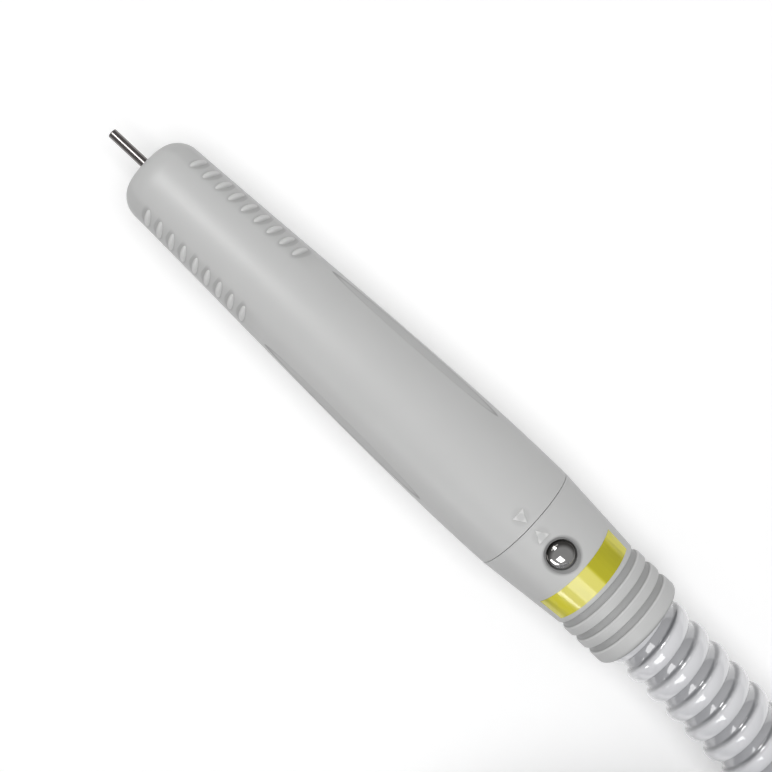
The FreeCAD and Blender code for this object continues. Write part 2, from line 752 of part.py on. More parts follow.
def switch_plunger():
    top = BOSS_DEPTH + RUN + FLANGE_THICKNESS
    return on_button(button_disc(PLUNGER_RADIUS, top, PLUNGER_DEPTH))


def button_switch():
    half = SWITCH_SIDE / 2
    bottom = SWITCH_TOP + SWITCH_HEIGHT
    body = block((-half, -half, -bottom), (half, half, -SWITCH_TOP))
    well = button_disc(PLUNGER_RADIUS + LOOSE, SWITCH_TOP - PAST, SWITCH_TOP + SWITCH_WELL)
    return on_button(body.cut(well))


def switch_board():
    bottom = board_bottom()
    board = block(
        (-BOARD_FRONT, -BOARD_HALF_WIDTH, -bottom),
        (BOARD_REAR, BOARD_HALF_WIDTH, -bottom + BOARD_THICKNESS),
    )
    return on_button(board)


def drill_shank():
    """Plain round shank with chamfered ends."""
    end = SHANK_END
    chamfer = SHANK_CHAMFER
    return turned(
        [
            (SHANK_TIP, 0),
            (SHANK_TIP, SHANK_RADIUS - chamfer),
            (SHANK_TIP + chamfer, SHANK_RADIUS),
            (end - chamfer, SHANK_RADIUS),
            (end, SHANK_RADIUS - chamfer),
            (end, 0),
        ]
    )


def collet():
    """Slotted collet with a drawing cone and a solid tail for the cross pin."""
    nose_end = COLLET_FRONT + COLLET_NOSE_LENGTH
    body = turned(
        [
            (COLLET_FRONT, 0),
            (COLLET_FRONT, COLLET_NOSE_FACE),
            (COLLET_FRONT + COLLET_NOSE_LENGTH / 2, COLLET_NOSE_RADIUS),
            (nose_end, COLLET_NOSE_RADIUS),
            (COLLET_CONE_END, COLLET_RADIUS),
            (COLLET_END, COLLET_RADIUS),
            (COLLET_END, 0),
        ]
    )
    bore = rod(COLLET_FRONT - PAST, COLLET_BORE_END, SHANK_RADIUS + SEAT)
    jaw_slot = block(
        (COLLET_FRONT - PAST, -COLLET_SLOT_WIDTH / 2, 0),
        (COLLET_SLOT_END, COLLET_SLOT_WIDTH / 2, COLLET_NOSE_RADIUS + PAST),
    )
    jaw_slots = repeated(jaw_slot, COLLET_JAWS, COLLET_FIRST_SLOT)
    return body.cut([bore, cross_bar(CROSS_PIN_RADIUS + SEAT, COLLET_NOSE_RADIUS)] + jaw_slots)


def cross_bar(radius, reach):
    """A cylinder through the drive axis, where the cross pin lies."""
    return Part.makeCylinder(radius, 2 * reach, V(CROSS_PIN_X, 0, -reach), Z_AXIS)


def spindle():
    """Hollow front for the collet, shoulder and flange for bearings and springs, solid rear."""
    seat_slope = (COLLET_NOSE_RADIUS - COLLET_RADIUS) / (
        COLLET_CONE_END - COLLET_FRONT - COLLET_NOSE_LENGTH
    )
    cone_mouth = COLLET_RADIUS + seat_slope * (COLLET_CONE_END - SPINDLE_FRONT)
    shoulder_end = BEARING_STOP_X + SHOULDER_LENGTH
    body = turned(
        [
            (SPINDLE_FRONT, 0),
            (SPINDLE_FRONT, SPINDLE_RADIUS),
            (BEARING_STOP_X, SPINDLE_RADIUS),
            (BEARING_STOP_X, SHOULDER_RADIUS),
            (shoulder_end, SHOULDER_RADIUS),
            (shoulder_end, SPRING_FLANGE_RADIUS),
            (FLANGE_END, SPRING_FLANGE_RADIUS),
            (FLANGE_END, SPINDLE_RADIUS),
            (SPINDLE_END, SPINDLE_RADIUS),
            (SPINDLE_END, 0),
        ]
    )
    hollow = turned(
        [
            (SPINDLE_FRONT, 0),
            (SPINDLE_FRONT, cone_mouth + RUN),
            (COLLET_CONE_END, COLLET_RADIUS + RUN),
            (COLLET_END + SPINDLE_TAIL_ROOM, COLLET_RADIUS + RUN),
            (COLLET_END + SPINDLE_TAIL_ROOM, 0),
        ]
    )
    slot_half = CROSS_PIN_RADIUS + LOOSE
    pin_slot = block(
        (CROSS_PIN_X - COLLET_TRAVEL - slot_half, -slot_half, -SPINDLE_RADIUS - PAST),
        (CROSS_PIN_X + slot_half, slot_half, SPINDLE_RADIUS + PAST),
    )
    return body.cut([hollow, pin_slot])


def race_groove(x):
    """The round track that a bearing's balls run in."""
    middle = x + BEARING_WIDTH / 2
    return Part.makeTorus(BALL_CIRCLE, BALL_RADIUS + RACE_GAP, V(middle, 0, 0), X_AXIS)


def inner_ring(x):
    ring = tube(x, x + BEARING_WIDTH, SPINDLE_RADIUS + SEAT / 2, INNER_LAND)
    return ring.cut(race_groove(x))


def outer_ring(x):
    """Outer ring with its two dust shields."""
    lip = INNER_LAND + LOOSE
    end = x + BEARING_WIDTH
    thick = SHIELD_THICKNESS
    ring = turned(
        [
            (x, lip),
            (x, BEARING_OUTER),
            (end, BEARING_OUTER),
            (end, lip),
            (end - thick, lip),
            (end - thick, OUTER_LAND),
            (x + thick, OUTER_LAND),
            (x + thick, lip),
        ]
    )
    return ring.cut(race_groove(x))


def bearing_balls(x):
    middle = x + BEARING_WIDTH / 2
    ball = Part.makeSphere(BALL_RADIUS, V(middle, 0, BALL_CIRCLE))
    return repeated(ball, BALLS)


def bearing_cage(x):
    """A crown cage: a ring beside the balls with a finger between each pair."""
    middle = x + BEARING_WIDTH / 2
    inner = BALL_CIRCLE - CAGE_HEIGHT / 2
    outer = BALL_CIRCLE + CAGE_HEIGHT / 2
    side = middle + BALL_RADIUS + RUN
    half = FINGER_WIDTH / 2
    ring = tube(side, side + CAGE_THICKNESS, inner, outer)
    finger = block(
        (middle - FINGER_REACH, -half, inner + FINGER_STEP),
        (side + CAGE_THICKNESS / 2, half, outer - FINGER_STEP),
    )
    return ring.fuse(repeated(finger, BALLS, 180.0 / BALLS))


def front_bearing_places():
    return (FRONT_BEARING_X, SECOND_BEARING_X)


def all_bearing_places():
    return (FRONT_BEARING_X, SECOND_BEARING_X, REAR_BEARING_X)


def bearing_spacers():
    """One ring between the outer rings and one between the inner rings."""
    start = FRONT_BEARING_X + BEARING_WIDTH
    end = SECOND_BEARING_X
    outer = tube(start, end, OUTER_LAND + LOOSE, BEARING_OUTER)
    inner = tube(start, end, SPINDLE_RADIUS + SEAT / 2, INNER_LAND - LOOSE)
    return outer, inner


def disc_spring(index):
    """One coned spring washer of the stack; neighbours face opposite ways."""
    pitch = (THRUST_X - SEAT - FLANGE_END) / DISC_SPRINGS
    start = FLANGE_END + index * pitch
    thick = DISC_THICKNESS
    rise = pitch - thick - SEAT
    bore = SPINDLE_RADIUS + LOOSE
    near, far = (0.0, rise) if index % 2 == 0 else (rise, 0.0)
    return turned(
        [
            (start + near, bore),
            (start + far, DISC_OUTER),
            (start + far + thick, DISC_OUTER),
            (start + near + thick, bore),
        ]
    )


def thrust_collar():
    ring = tube(THRUST_X, THRUST_X + THRUST_LENGTH, SPINDLE_RADIUS + RUN, THRUST_RADIUS)
    return ring.cut(cross_bar(CROSS_PIN_RADIUS + SEAT, THRUST_RADIUS + PAST))


def cross_pin():
    return cross_bar(CROSS_PIN_RADIUS, CROSS_PIN_REACH)


def cam_pin_angles():
    return [i * 360.0 / CAM_PINS for i in range(CAM_PINS)]


def release_ring():
    """Slides in the housing, carries the cam pins and pushes on the thrust collar."""
    ring = tube(RELEASE_X, RELEASE_X + RELEASE_LENGTH, RELEASE_BORE, HOUSING_BORE - RUN)
    holes = [
        spoke(CAM_PIN_X, CAM_PIN_INNER - SEAT, HOUSING_BORE + PAST, CAM_PIN_RADIUS + SEAT, angle)
        for angle in cam_pin_angles()
    ]
    return ring.cut(holes)


def cam_pins():
    reach = CAM_RADIUS - LOOSE
    return [
        spoke(CAM_PIN_X, CAM_PIN_INNER, reach, CAM_PIN_RADIUS, angle)
        for angle in cam_pin_angles()
    ]


def cam_slot():
    """The slanted slot that drives a cam pin forward as the sleeve turns."""
    middle_radius = (CAM_BORE + CAM_RADIUS) / 2
    half_turn = math.radians(TWIST_DEGREES / 2)
    across = CAM_RADIUS * math.sin(half_turn)
    rise = RELEASE_TRAVEL / 2 * across / (middle_radius * math.sin(half_turn))
    half = CAM_PIN_RADIUS + CAM_SLOT_GAP
    run = V(-rise, across, 0) * 2
    along = V(run).normalize()
    side = V(along.y, -along.x, 0)
    first = V(rise, -across, 0) - along * CAM_SLOT_END
    last = V(-rise, across, 0) + along * CAM_SLOT_END
    corners = [first + side * half, last + side * half, last - side * half, first - side * half]
    strip = Part.Face(Part.makePolygon(corners + corners[:1]))
    slot = strip.extrude(V(0, 0, CAM_RADIUS + PAST))
    ends = [Part.makeCylinder(half, CAM_RADIUS + PAST, end, Z_AXIS) for end in (first, last)]
    slot = slot.fuse(ends).translated(V(CAM_PIN_X - RELEASE_TRAVEL / 2, 0, 0))
    return about_axis(slot, -TWIST_DEGREES / 2)


def cam_sleeve():
    """Hub on the housing with slanted slots, and fins that key it into the front sleeve."""
    end = CAM_START + CAM_LENGTH
    hub = tube(CAM_START, end, CAM_BORE, CAM_RADIUS)
    half = CAM_FIN_WIDTH / 2
    fin = block((CAM_START, -half, CAM_RADIUS - CAM_FIN_ROOT), (end, half, BELLY_RADIUS))
    inner = outer_curve(SLEEVE_WALL)
    fins = []
    front = radius_at(inner, CAM_START) - RUN
    rear = radius_at(inner, end) - RUN
    room = turned([(CAM_START, 0), (CAM_START, front), (end, rear), (end, 0)])
    for shape in repeated(fin, CAM_FINS, CAM_FIRST_FIN):
        fins.append(shape.common(room))
    hub = hub.fuse(fins)
    slots = [about_axis(cam_slot(), angle) for angle in cam_pin_angles()]
    return hub.cut(slots)


def motor_housing():
    """One turned body: bearing tube in front, web, motor barrel behind."""
    web_end = BARREL_START + WEB_THICKNESS
    points = [
        (HOUSING_FRONT, HOUSING_BORE),
        (HOUSING_FRONT, HOUSING_TUBE_RADIUS),
        (BARREL_START, HOUSING_TUBE_RADIUS),
        (web_end, BARREL_RADIUS),
        (BARREL_END, BARREL_RADIUS),
        (BARREL_END, BARREL_BORE),
        (web_end, BARREL_BORE),
        (web_end, WEB_HOLE),
        (BARREL_START, WEB_HOLE),
        (BARREL_START, HOUSING_BORE),
        (BEARING_STOP_X + BEARING_LIP, HOUSING_BORE),
        (BEARING_STOP_X + BEARING_LIP, OUTER_LAND),
        (BEARING_STOP_X, OUTER_LAND),
        (BEARING_STOP_X, HOUSING_BORE),
    ]
    housing = turned(points)
    half = CAM_PIN_RADIUS + LOOSE
    slot = block(
        (CAM_PIN_X - RELEASE_TRAVEL - half, -half, HOUSING_BORE - PAST),
        (CAM_PIN_X + half, half, HOUSING_TUBE_RADIUS + PAST),
    )
    return housing.cut([about_axis(slot, angle) for angle in cam_pin_angles()])


def nose_nut():
    """Closes the bearing seat and keeps dust out with a close running bore."""
    inner = OUTER_LAND + LOOSE
    spigot_end = FRONT_BEARING_X - SEAT
    return turned(
        [
            (NOSE_NUT_FRONT, NOSE_NUT_BORE),
            (NOSE_NUT_FRONT, NOSE_NUT_RADIUS),
            (HOUSING_FRONT - NOSE_NUT_FACE, HOUSING_TUBE_RADIUS),
            (HOUSING_FRONT, HOUSING_TUBE_RADIUS),
            (HOUSING_FRONT, HOUSING_BORE - SEAT),
            (spigot_end, HOUSING_BORE - SEAT),
            (spigot_end, inner),
            (HOUSING_FRONT - NOSE_NUT_FACE, inner),
            (HOUSING_FRONT - NOSE_NUT_FACE, NOSE_NUT_BORE),
        ]
    )


def stator_core():
    """Laminated ring with wound teeth, each tooth ending in a shoe."""
    ring = tube(CORE_START, CORE_END, TOOTH_ROOT, BARREL_BORE - SEAT)
    half = TOOTH_WIDTH / 2
    tooth = block(
        (CORE_START, -half, TOOTH_RADIUS - PAST),
        (CORE_END, half, TOOTH_ROOT + TOOTH_LAP),
    )
    shoes = tube(CORE_START, CORE_END, TOOTH_RADIUS, TOOTH_RADIUS + TOOTH_SHOE)
    gap = block(
        (CORE_START - PAST, -SHOE_GAP / 2, 0),
        (CORE_END + PAST, SHOE_GAP / 2, TOOTH_RADIUS + TOOTH_SHOE + LOOSE),
    )
    shoes = shoes.cut(repeated(gap, TEETH, 180.0 / TEETH))
    core = ring.fuse(repeated(tooth, TEETH) + [shoes])
    return core.cut(rod(CORE_START - PAST, CORE_END + PAST, TOOTH_RADIUS)).removeSplitter()


def stator_windings():
    """Coils between the teeth, joined by the end turns on both sides of the core."""
    start = CORE_START - WINDING_OVERHANG
    end = CORE_END + WINDING_OVERHANG
    packed = tube(start, end, WINDING_INNER, WINDING_OUTER)
    half = TOOTH_WIDTH / 2 + RUN
    room = block(
        (CORE_START - RUN, -half, 0),
        (CORE_END + RUN, half, BARREL_BORE),
    )
    return packed.cut(repeated(room, TEETH))


def rotor_magnet():
    return tube(MAGNET_START, MAGNET_END, SPINDLE_RADIUS + SEAT, MAGNET_RADIUS)


def balance_rings():
    """A trimming ring at each end of the magnet."""
    inner = SPINDLE_RADIUS + SEAT
    front = MAGNET_START - SEAT
    rear = MAGNET_END + SEAT
    return [
        tube(front - BALANCE_LENGTH, front, inner, MAGNET_RADIUS),
        tube(rear, rear + BALANCE_LENGTH, inner, MAGNET_RADIUS),
    ]


def sensor_board():
    """Round board with three position sensors facing the magnet."""
    rear = SENSOR_BOARD_X + SENSOR_BOARD_THICKNESS
    board = tube(SENSOR_BOARD_X, rear, SENSOR_BOARD_INNER, BARREL_BORE - SEAT)
    half = SENSOR_WIDTH / 2
    chip = block(
        (SENSOR_BOARD_X - SENSOR_HEIGHT, -half, SENSOR_INNER),
        (SENSOR_BOARD_X + SENSOR_ROOT, half, SENSOR_OUTER),
    )
    return board.fuse(repeated(chip, SENSORS, SENSOR_FIRST))


def end_cap():
    """Holds the rear bearing, closes the barrel and stands on three legs in the spigot."""
    plug = turned(
        [
            (CAP_START, HOUSING_BORE),
            (CAP_START, BARREL_BORE - SEAT),
            (BARREL_END, BARREL_BORE - SEAT),
            (BARREL_END, BARREL_RADIUS),
            (CAP_END, BARREL_RADIUS),
            (CAP_END, GROMMET_RADIUS),
            (CAP_WALL_X, GROMMET_RADIUS),
            (CAP_WALL_X, HOUSING_BORE),
        ]
    )
    half = LEG_WIDTH / 2
    leg = block((CAP_END - LEG_ROOT, -half, LEG_INNER), (FOOT_END, half, BARREL_RADIUS))
    foot = block((FOOT_START, -half, LEG_INNER), (FOOT_END, half, COLLAR_BORE + PAST))
    room = rod(CAP_END - PAST, FOOT_END, COLLAR_BORE - SEAT)
    arms = []
    for angle in SCREW_ANGLES:
        arm = about_axis(leg.fuse(foot), angle).common(room)
        arms.append(arm.cut(spoke(SCREW_X, 0, COLLAR_BORE + PAST, SCREW_RADIUS, angle)))
    return plug.fuse(arms).removeSplitter()


def preload_washer():
    """Waved washer that presses the rear bearing forward, drawn flat."""
    start = REAR_BEARING_X + BEARING_WIDTH + SEAT
    return tube(start, CAP_WALL_X - SEAT, OUTER_LAND + LOOSE, BEARING_OUTER)


def cable_grommet():
    inner = CABLE_RADIUS + SEAT
    start = CAP_WALL_X + LOOSE
    return turned(
        [
            (start, inner),
            (start, GROMMET_RADIUS - SEAT),
            (CAP_END + SEAT, GROMMET_RADIUS - SEAT),
            (CAP_END + SEAT, GROMMET_FLANGE),
            (CAP_END + SEAT + GROMMET_LENGTH, GROMMET_FLANGE),
            (CAP_END + SEAT + GROMMET_LENGTH, inner),
        ]
    )


def motor_cable():
    return rod(CAP_WALL_X + CABLE_INSET, CUFF_STOP, CABLE_RADIUS)


def sleeve_seal():
    middle = SPIGOT_RADIUS + RUN / 2 - SEAL_SECTION
    return Part.makeTorus(middle, SEAL_SECTION, V(SEAL_X, 0, 0), X_AXIS)


def retaining_ring():
    """Open spring ring that keeps the sleeve on the spigot and lets it turn."""
    ring = tube(CLIP_X + RUN, CLIP_X + RUN + CLIP_WIDTH, CLIP_INNER, CLIP_OUTER)
    half = CLIP_OUTER * math.sin(math.radians(CLIP_GAP_ANGLE / 2))
    gap = block(
        (CLIP_X - PAST, -half, -CLIP_OUTER - PAST),
        (CLIP_X + CLIP_WIDTH + PAST, half, 0),
    )
    return ring.cut(gap)


def hose_cuff():
    """Ring that grips the hose end inside the collar, with a lip that the hose stops on."""
    end = BODY_LENGTH - COLLAR_LIP - SEAT
    bore = HOSE_RADIUS + HOSE_FIT
    outer = COLLAR_BORE - SEAT
    return turned(
        [
            (CUFF_START, CUFF_BORE),
            (CUFF_START, outer),
            (end, outer),
            (end, bore),
            (CUFF_STOP, bore),
            (CUFF_STOP, CUFF_BORE),
        ]
    )


def rounded_route(points):
    """Straight runs joined by tangent arcs. Prints each arc's radius."""
    corners = [V(*p) for p in points]
    edges = []
    start = corners[0]
    radii = []
    for before, corner, after in zip(corners, corners[1:], corners[2:]):
        back = (before - corner)
        forth = (after - corner)
        shorter = min(back.Length, forth.Length)
        turn = math.pi - back.getAngle(forth)
        trim = 0.45 * shorter
        radii.append(trim / math.tan(turn / 2))
        back.normalize()
        forth.normalize()
        first = corner + back * trim
        last = corner + forth * trim
        inward = (back + forth).normalize()
        radius = radii[-1]
        to_centre = math.hypot(radius, trim)
        middle = corner + inward * (to_centre - radius)
        edges.append(Part.makeLine(start, first))
        edges.append(Part.Arc(first, middle, last).toShape())
        start = last
    edges.append(Part.makeLine(start, corners[-1]))
    print("hose arc radii, mm:", [round(r) for r in radii])
    return Part.Wire(edges)


def hose():
    """The free run of hose, from the cuff's lip to the coil."""
    route = rounded_route(HOSE_POINTS)
    start = V(*HOSE_POINTS[0])
    direction = V(*HOSE_POINTS[1]) - start
    circle = Part.Wire([Part.Circle(start, direction, HOSE_RADIUS).toShape()])
    solid = route.makePipeShell([circle], True, True)
    expected = math.pi * HOSE_RADIUS**2 * route.Length
    share = solid.Volume / expected
    print("hose run: length %.1f mm, volume / expected %.4f" % (route.Length, share))
    return solid


def coil_frame():
    """Centre of the coil, and the angle in plan at which the hose joins it."""
    before = V(*HOSE_POINTS[-2])
    end = V(*HOSE_POINTS[-1])
    heading = math.atan2(end.y - before.y, end.x - before.x)
    centre = V(
        end.x + COIL_RADIUS * math.sin(heading),
        end.y - COIL_RADIUS * math.cos(heading),
        0,
    )
    return centre, math.degrees(heading) + 90.0


def stack_section(levels):
    """Half plane section of hose turns lying on each other: straight flanks, round top and foot."""
    low = COIL_FLOOR_GAP + HOSE_RADIUS
    high = low + 2 * HOSE_RADIUS * (levels - 1)
    near = COIL_RADIUS - HOSE_RADIUS
    far = COIL_RADIUS + HOSE_RADIUS
    foot = Part.Arc(V(near, 0, low), V(COIL_RADIUS, 0, low - HOSE_RADIUS), V(far, 0, low))
    top = Part.Arc(V(far, 0, high), V(COIL_RADIUS, 0, high + HOSE_RADIUS), V(near, 0, high))
    edges = [
        foot.toShape(),
        Part.makeLine(V(far, 0, low), V(far, 0, high)),
        top.toShape(),
        Part.makeLine(V(near, 0, high), V(near, 0, low)),
    ]
    return Part.Face(Part.Wire(edges))


def hose_coil():
    """Outer shape of the wound hose, with the last part turn on top."""
    centre, join = coil_frame()
    whole = stack_section(COIL_LEVELS).revolve(V(0, 0, 0), Z_AXIS, 360)
    tail = stack_section(COIL_LEVELS + 1).revolve(V(0, 0, 0), Z_AXIS, -COIL_TAIL_DEGREES)
    coil = whole.fuse(tail)
    return coil.rotated(V(0, 0, 0), Z_AXIS, join).translated(centre)


def at_coil_end(shape):
    """Places a piece drawn along +x from the origin onto the end of the wound hose."""
    centre, join = coil_frame()
    angle = math.radians(join - COIL_TAIL_DEGREES)
    height = COIL_FLOOR_GAP + HOSE_RADIUS * (2 * COIL_LEVELS + 1)
    start = centre + V(COIL_RADIUS * math.cos(angle), COIL_RADIUS * math.sin(angle), height)
    turned_shape = shape.rotated(V(0, 0, 0), Z_AXIS, join - COIL_TAIL_DEGREES - 90.0)
    return turned_shape.translated(start)


def plug_body():
    """Connector at the hose's far end: grip, shoulder and a spigot that carries the air."""
    points = [(0, 0), (0, PLUG_RADIUS)]
    pitch = (PLUG_LENGTH - 2 * PLUG_PLAIN) / PLUG_GRIP_GROOVES
    for i in range(PLUG_GRIP_GROOVES):
        x = PLUG_PLAIN + i * pitch
        points += [
            (x, PLUG_RADIUS),
            (x + pitch / 4, PLUG_RADIUS - PLUG_GROOVE_DEPTH),
            (x + pitch / 2, PLUG_RADIUS - PLUG_GROOVE_DEPTH),
            (x + pitch * 3 / 4, PLUG_RADIUS),
        ]
    end = PLUG_LENGTH + AIR_SPIGOT_LENGTH
    points += [
        (PLUG_LENGTH - PLUG_CHAMFER, PLUG_RADIUS),
        (PLUG_LENGTH, PLUG_RADIUS - PLUG_CHAMFER),
        (PLUG_LENGTH, AIR_SPIGOT_RADIUS),
        (end, AIR_SPIGOT_RADIUS),
        (end, 0),
    ]
    body = turned(points)
    air_start = PLUG_LENGTH - AIR_BORE_DEPTH
    air = tube(air_start, end + PAST, SOCKET_RADIUS + SOCKET_WALL, AIR_SPIGOT_BORE)
    recess = rod(end - CONTACT_DEPTH, end + PAST, AIR_SPIGOT_BORE)
    return at_coil_end(body.cut([air, recess]))


def contact_insert():
    """Insulating disc in the middle of the spigot that holds the contact pins."""
    foot = PLUG_LENGTH + AIR_SPIGOT_LENGTH - CONTACT_DEPTH
    disc = rod(foot + SEAT, foot + INSERT_THICKNESS, SOCKET_RADIUS)
    reach = INSERT_THICKNESS + 2 * PAST
    hole = Part.makeCylinder(
        CONTACT_RADIUS + SEAT, reach, V(foot - PAST, 0, CONTACT_CIRCLE), X_AXIS
    )
    return at_coil_end(disc.cut(repeated(hole, CONTACT_PINS)))


def contact_pins():
    start = PLUG_LENGTH + AIR_SPIGOT_LENGTH - CONTACT_DEPTH + SEAT
    length = CONTACT_DEPTH - CONTACT_RECESS
    pin = Part.makeCylinder(CONTACT_RADIUS, length, V(start, 0, CONTACT_CIRCLE), X_AXIS)
    return [at_coil_end(shape) for shape in repeated(pin, CONTACT_PINS)]


def group(shapes):
    """Several separate solids kept together as one piece name."""
    return Part.makeCompound(list(shapes))


def save(name, shape, on_handpiece=True):
    """Writes one piece. Pieces of the handpiece are first set down on the plane z = 0."""
    if on_handpiece:
        shape = shape.translated(V(-MIDDLE_X, 0, AXIS_HEIGHT))
    for solid in shape.Solids:
        if not solid.isValid() or solid.Volume <= 0:
            print("not a sound solid:", name)
    shape.exportStep("parts/" + name + ".step")
    box = shape.BoundBox
    spans = (box.XMin, box.XMax, box.YMin, box.YMax, box.ZMin, box.ZMax)
    print("%-26s %2d solids, volume %10.1f" % (name, len(shape.Solids), shape.Volume), end="")
    print(", x %7.1f to %6.1f, y %7.1f to %5.1f, z %5.1f to %5.1f" % spans)


def main():
    os.makedirs("parts", exist_ok=True)
    outer_spacer, inner_spacer = bearing_spacers()
    pieces = {
        "front_sleeve": front_sleeve(),
        "cam_sleeve": cam_sleeve(),
        "rear_collar": rear_collar(),
        "yellow_band": yellow_band(),
        "retaining_ring": retaining_ring(),
        "sleeve_seal": sleeve_seal(),
        "spigot_screws": group(spigot_screws()),
        "touch_button": touch_button(),
        "button_seal": button_seal(),
        "switch_plunger": switch_plunger(),
        "button_switch": button_switch(),
        "switch_board": switch_board(),
        "drill_shank": drill_shank(),
        "collet": collet(),
        "cross_pin": cross_pin(),
        "thrust_collar": thrust_collar(),
        "disc_springs": group(disc_spring(i) for i in range(DISC_SPRINGS)),
        "release_ring": release_ring(),
        "cam_pins": group(cam_pins()),
        "motor_housing": motor_housing(),
        "nose_nut": nose_nut(),
        "spindle": spindle(),
        "front_bearing_outer_rings": group(outer_ring(x) for x in front_bearing_places()),
        "front_bearing_inner_rings": group(inner_ring(x) for x in front_bearing_places()),
        "rear_bearing_outer_ring": outer_ring(REAR_BEARING_X),
        "rear_bearing_inner_ring": inner_ring(REAR_BEARING_X),
        "bearing_balls": group(b for x in all_bearing_places() for b in bearing_balls(x)),
        "bearing_cages": group(bearing_cage(x) for x in all_bearing_places()),
        "outer_ring_spacer": outer_spacer,
        "inner_ring_spacer": inner_spacer,
        "stator_core": stator_core(),
        "stator_windings": stator_windings(),
        "rotor_magnet": rotor_magnet(),
        "balance_rings": group(balance_rings()),
        "sensor_board": sensor_board(),
        "preload_washer": preload_washer(),
        "end_cap": end_cap(),
        "cable_grommet": cable_grommet(),
        "motor_cable": motor_cable(),
        "hose_cuff": hose_cuff(),
    }
    for name, shape in pieces.items():
        save(name, shape)
    lying = {
        "hose": hose(),
        "hose_coil": hose_coil(),
        "hose_plug": plug_body(),
        "contact_insert": contact_insert(),
        "contact_pins": group(contact_pins()),
    }
    for name, shape in lying.items():
        save(name, shape, on_handpiece=False)


main()
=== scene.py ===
# %% [markdown]
# This lesson dresses the imported model of a suction drill handpiece. The imported model is a fixed
# frame: its pieces stay where they are, and each new piece is drawn in the same metres.
# The first cell loads it and counts its pieces.

# %% load the frame
import math

import bmesh
import bpy
import numpy as np
from mathutils import Euler, Matrix, Vector


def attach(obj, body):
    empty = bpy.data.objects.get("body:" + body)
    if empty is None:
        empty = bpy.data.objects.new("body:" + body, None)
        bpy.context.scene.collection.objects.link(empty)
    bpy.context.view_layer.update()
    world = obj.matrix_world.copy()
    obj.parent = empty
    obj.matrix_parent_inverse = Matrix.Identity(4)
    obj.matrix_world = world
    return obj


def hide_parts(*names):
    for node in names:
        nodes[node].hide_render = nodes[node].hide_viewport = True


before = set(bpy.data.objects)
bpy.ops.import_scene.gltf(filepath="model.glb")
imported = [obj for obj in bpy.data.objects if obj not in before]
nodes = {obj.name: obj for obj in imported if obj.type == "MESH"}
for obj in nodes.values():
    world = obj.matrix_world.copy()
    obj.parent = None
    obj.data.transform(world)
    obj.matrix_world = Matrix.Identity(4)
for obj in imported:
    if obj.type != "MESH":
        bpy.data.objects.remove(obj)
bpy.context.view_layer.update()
MM = 0.001
print("pieces in the frame:", len(nodes))

# %% [markdown]
# Drawing is easier in the maker's own measure: millimetres behind the nose face, and radius from
# the drive axis. The frame has its origin in the middle of the handpiece, on the table, so a
# short helper turns the one into the other.

# %% the drive axis
SHANK_REACH = 10.7
SLEEVE_LENGTH = 118.4
COLLAR_LENGTH = 36.5
BODY_LENGTH = SLEEVE_LENGTH + COLLAR_LENGTH
MIDDLE_X = (BODY_LENGTH - SHANK_REACH) / 2
AXIS_HEIGHT = 14.13
ON_AXIS = Matrix.Translation(Vector((-MIDDLE_X, 0, AXIS_HEIGHT)) * MM)


def turn(degrees):
    """A turn about the drive axis. Positive goes from the top towards -Y."""
    return Matrix.Rotation(math.radians(degrees), 4, "X")


print("nose face at x = %.1f mm" % -MIDDLE_X)

# %% [markdown]
# The camera comes first, because everything is judged through it. The picture was taken almost
# straight from above with a moderately long lens, from about 35 cm, with the handpiece lying
# across the frame from the upper left to the lower right. Place, turn and lens were worked out
# from the outline of the real object, so they are plain numbers here.

# %% camera
CAMERA_PLACE = Vector((-17.1, 10.4, 354.0)) * MM
CAMERA_TURN = (-3.431, -1.211, 43.119)
CAMERA_LENS = 69.0

camera_data = bpy.data.cameras.new("camera")
camera_data.lens = CAMERA_LENS
camera_data.clip_start = 0.01
camera = bpy.data.objects.new("camera", camera_data)
camera.location = CAMERA_PLACE
camera.rotation_euler = Euler([math.radians(a) for a in CAMERA_TURN], "XYZ")
bpy.context.collection.objects.link(camera)
bpy.context.scene.camera = camera
print("camera %.0f mm above the table, lens %.0f mm" % (CAMERA_PLACE.z / MM, CAMERA_LENS))

# %% [markdown]
# Every finish is a small tree of shader nodes. Writing those trees as Python expressions keeps
# them readable: a Value wraps one socket, and plus, minus, times and over add the Math node that
# does the work. A Finish owns one material and makes every other node through one method.

# %% shader maths


class Value:
    """One number that varies over a surface."""

    def __init__(self, finish, socket):
        self.finish = finish
        self.socket = socket

    def __add__(self, other):
        return self.finish.maths("ADD", self, other)

    def __sub__(self, other):
        return self.finish.maths("SUBTRACT", self, other)

    def __rsub__(self, other):
        return self.finish.maths("SUBTRACT", other, self)

    def __mul__(self, other):
        return self.finish.maths("MULTIPLY", self, other)

    def __rmul__(self, other):
        return self.finish.maths("MULTIPLY", other, self)

    def __truediv__(self, other):
        return self.finish.maths("DIVIDE", self, other)

    def clamped(self):
        """The same value, kept between 0 and 1."""
        return self.finish.node("ShaderNodeClamp", {}, {"Value": self}, "Result")


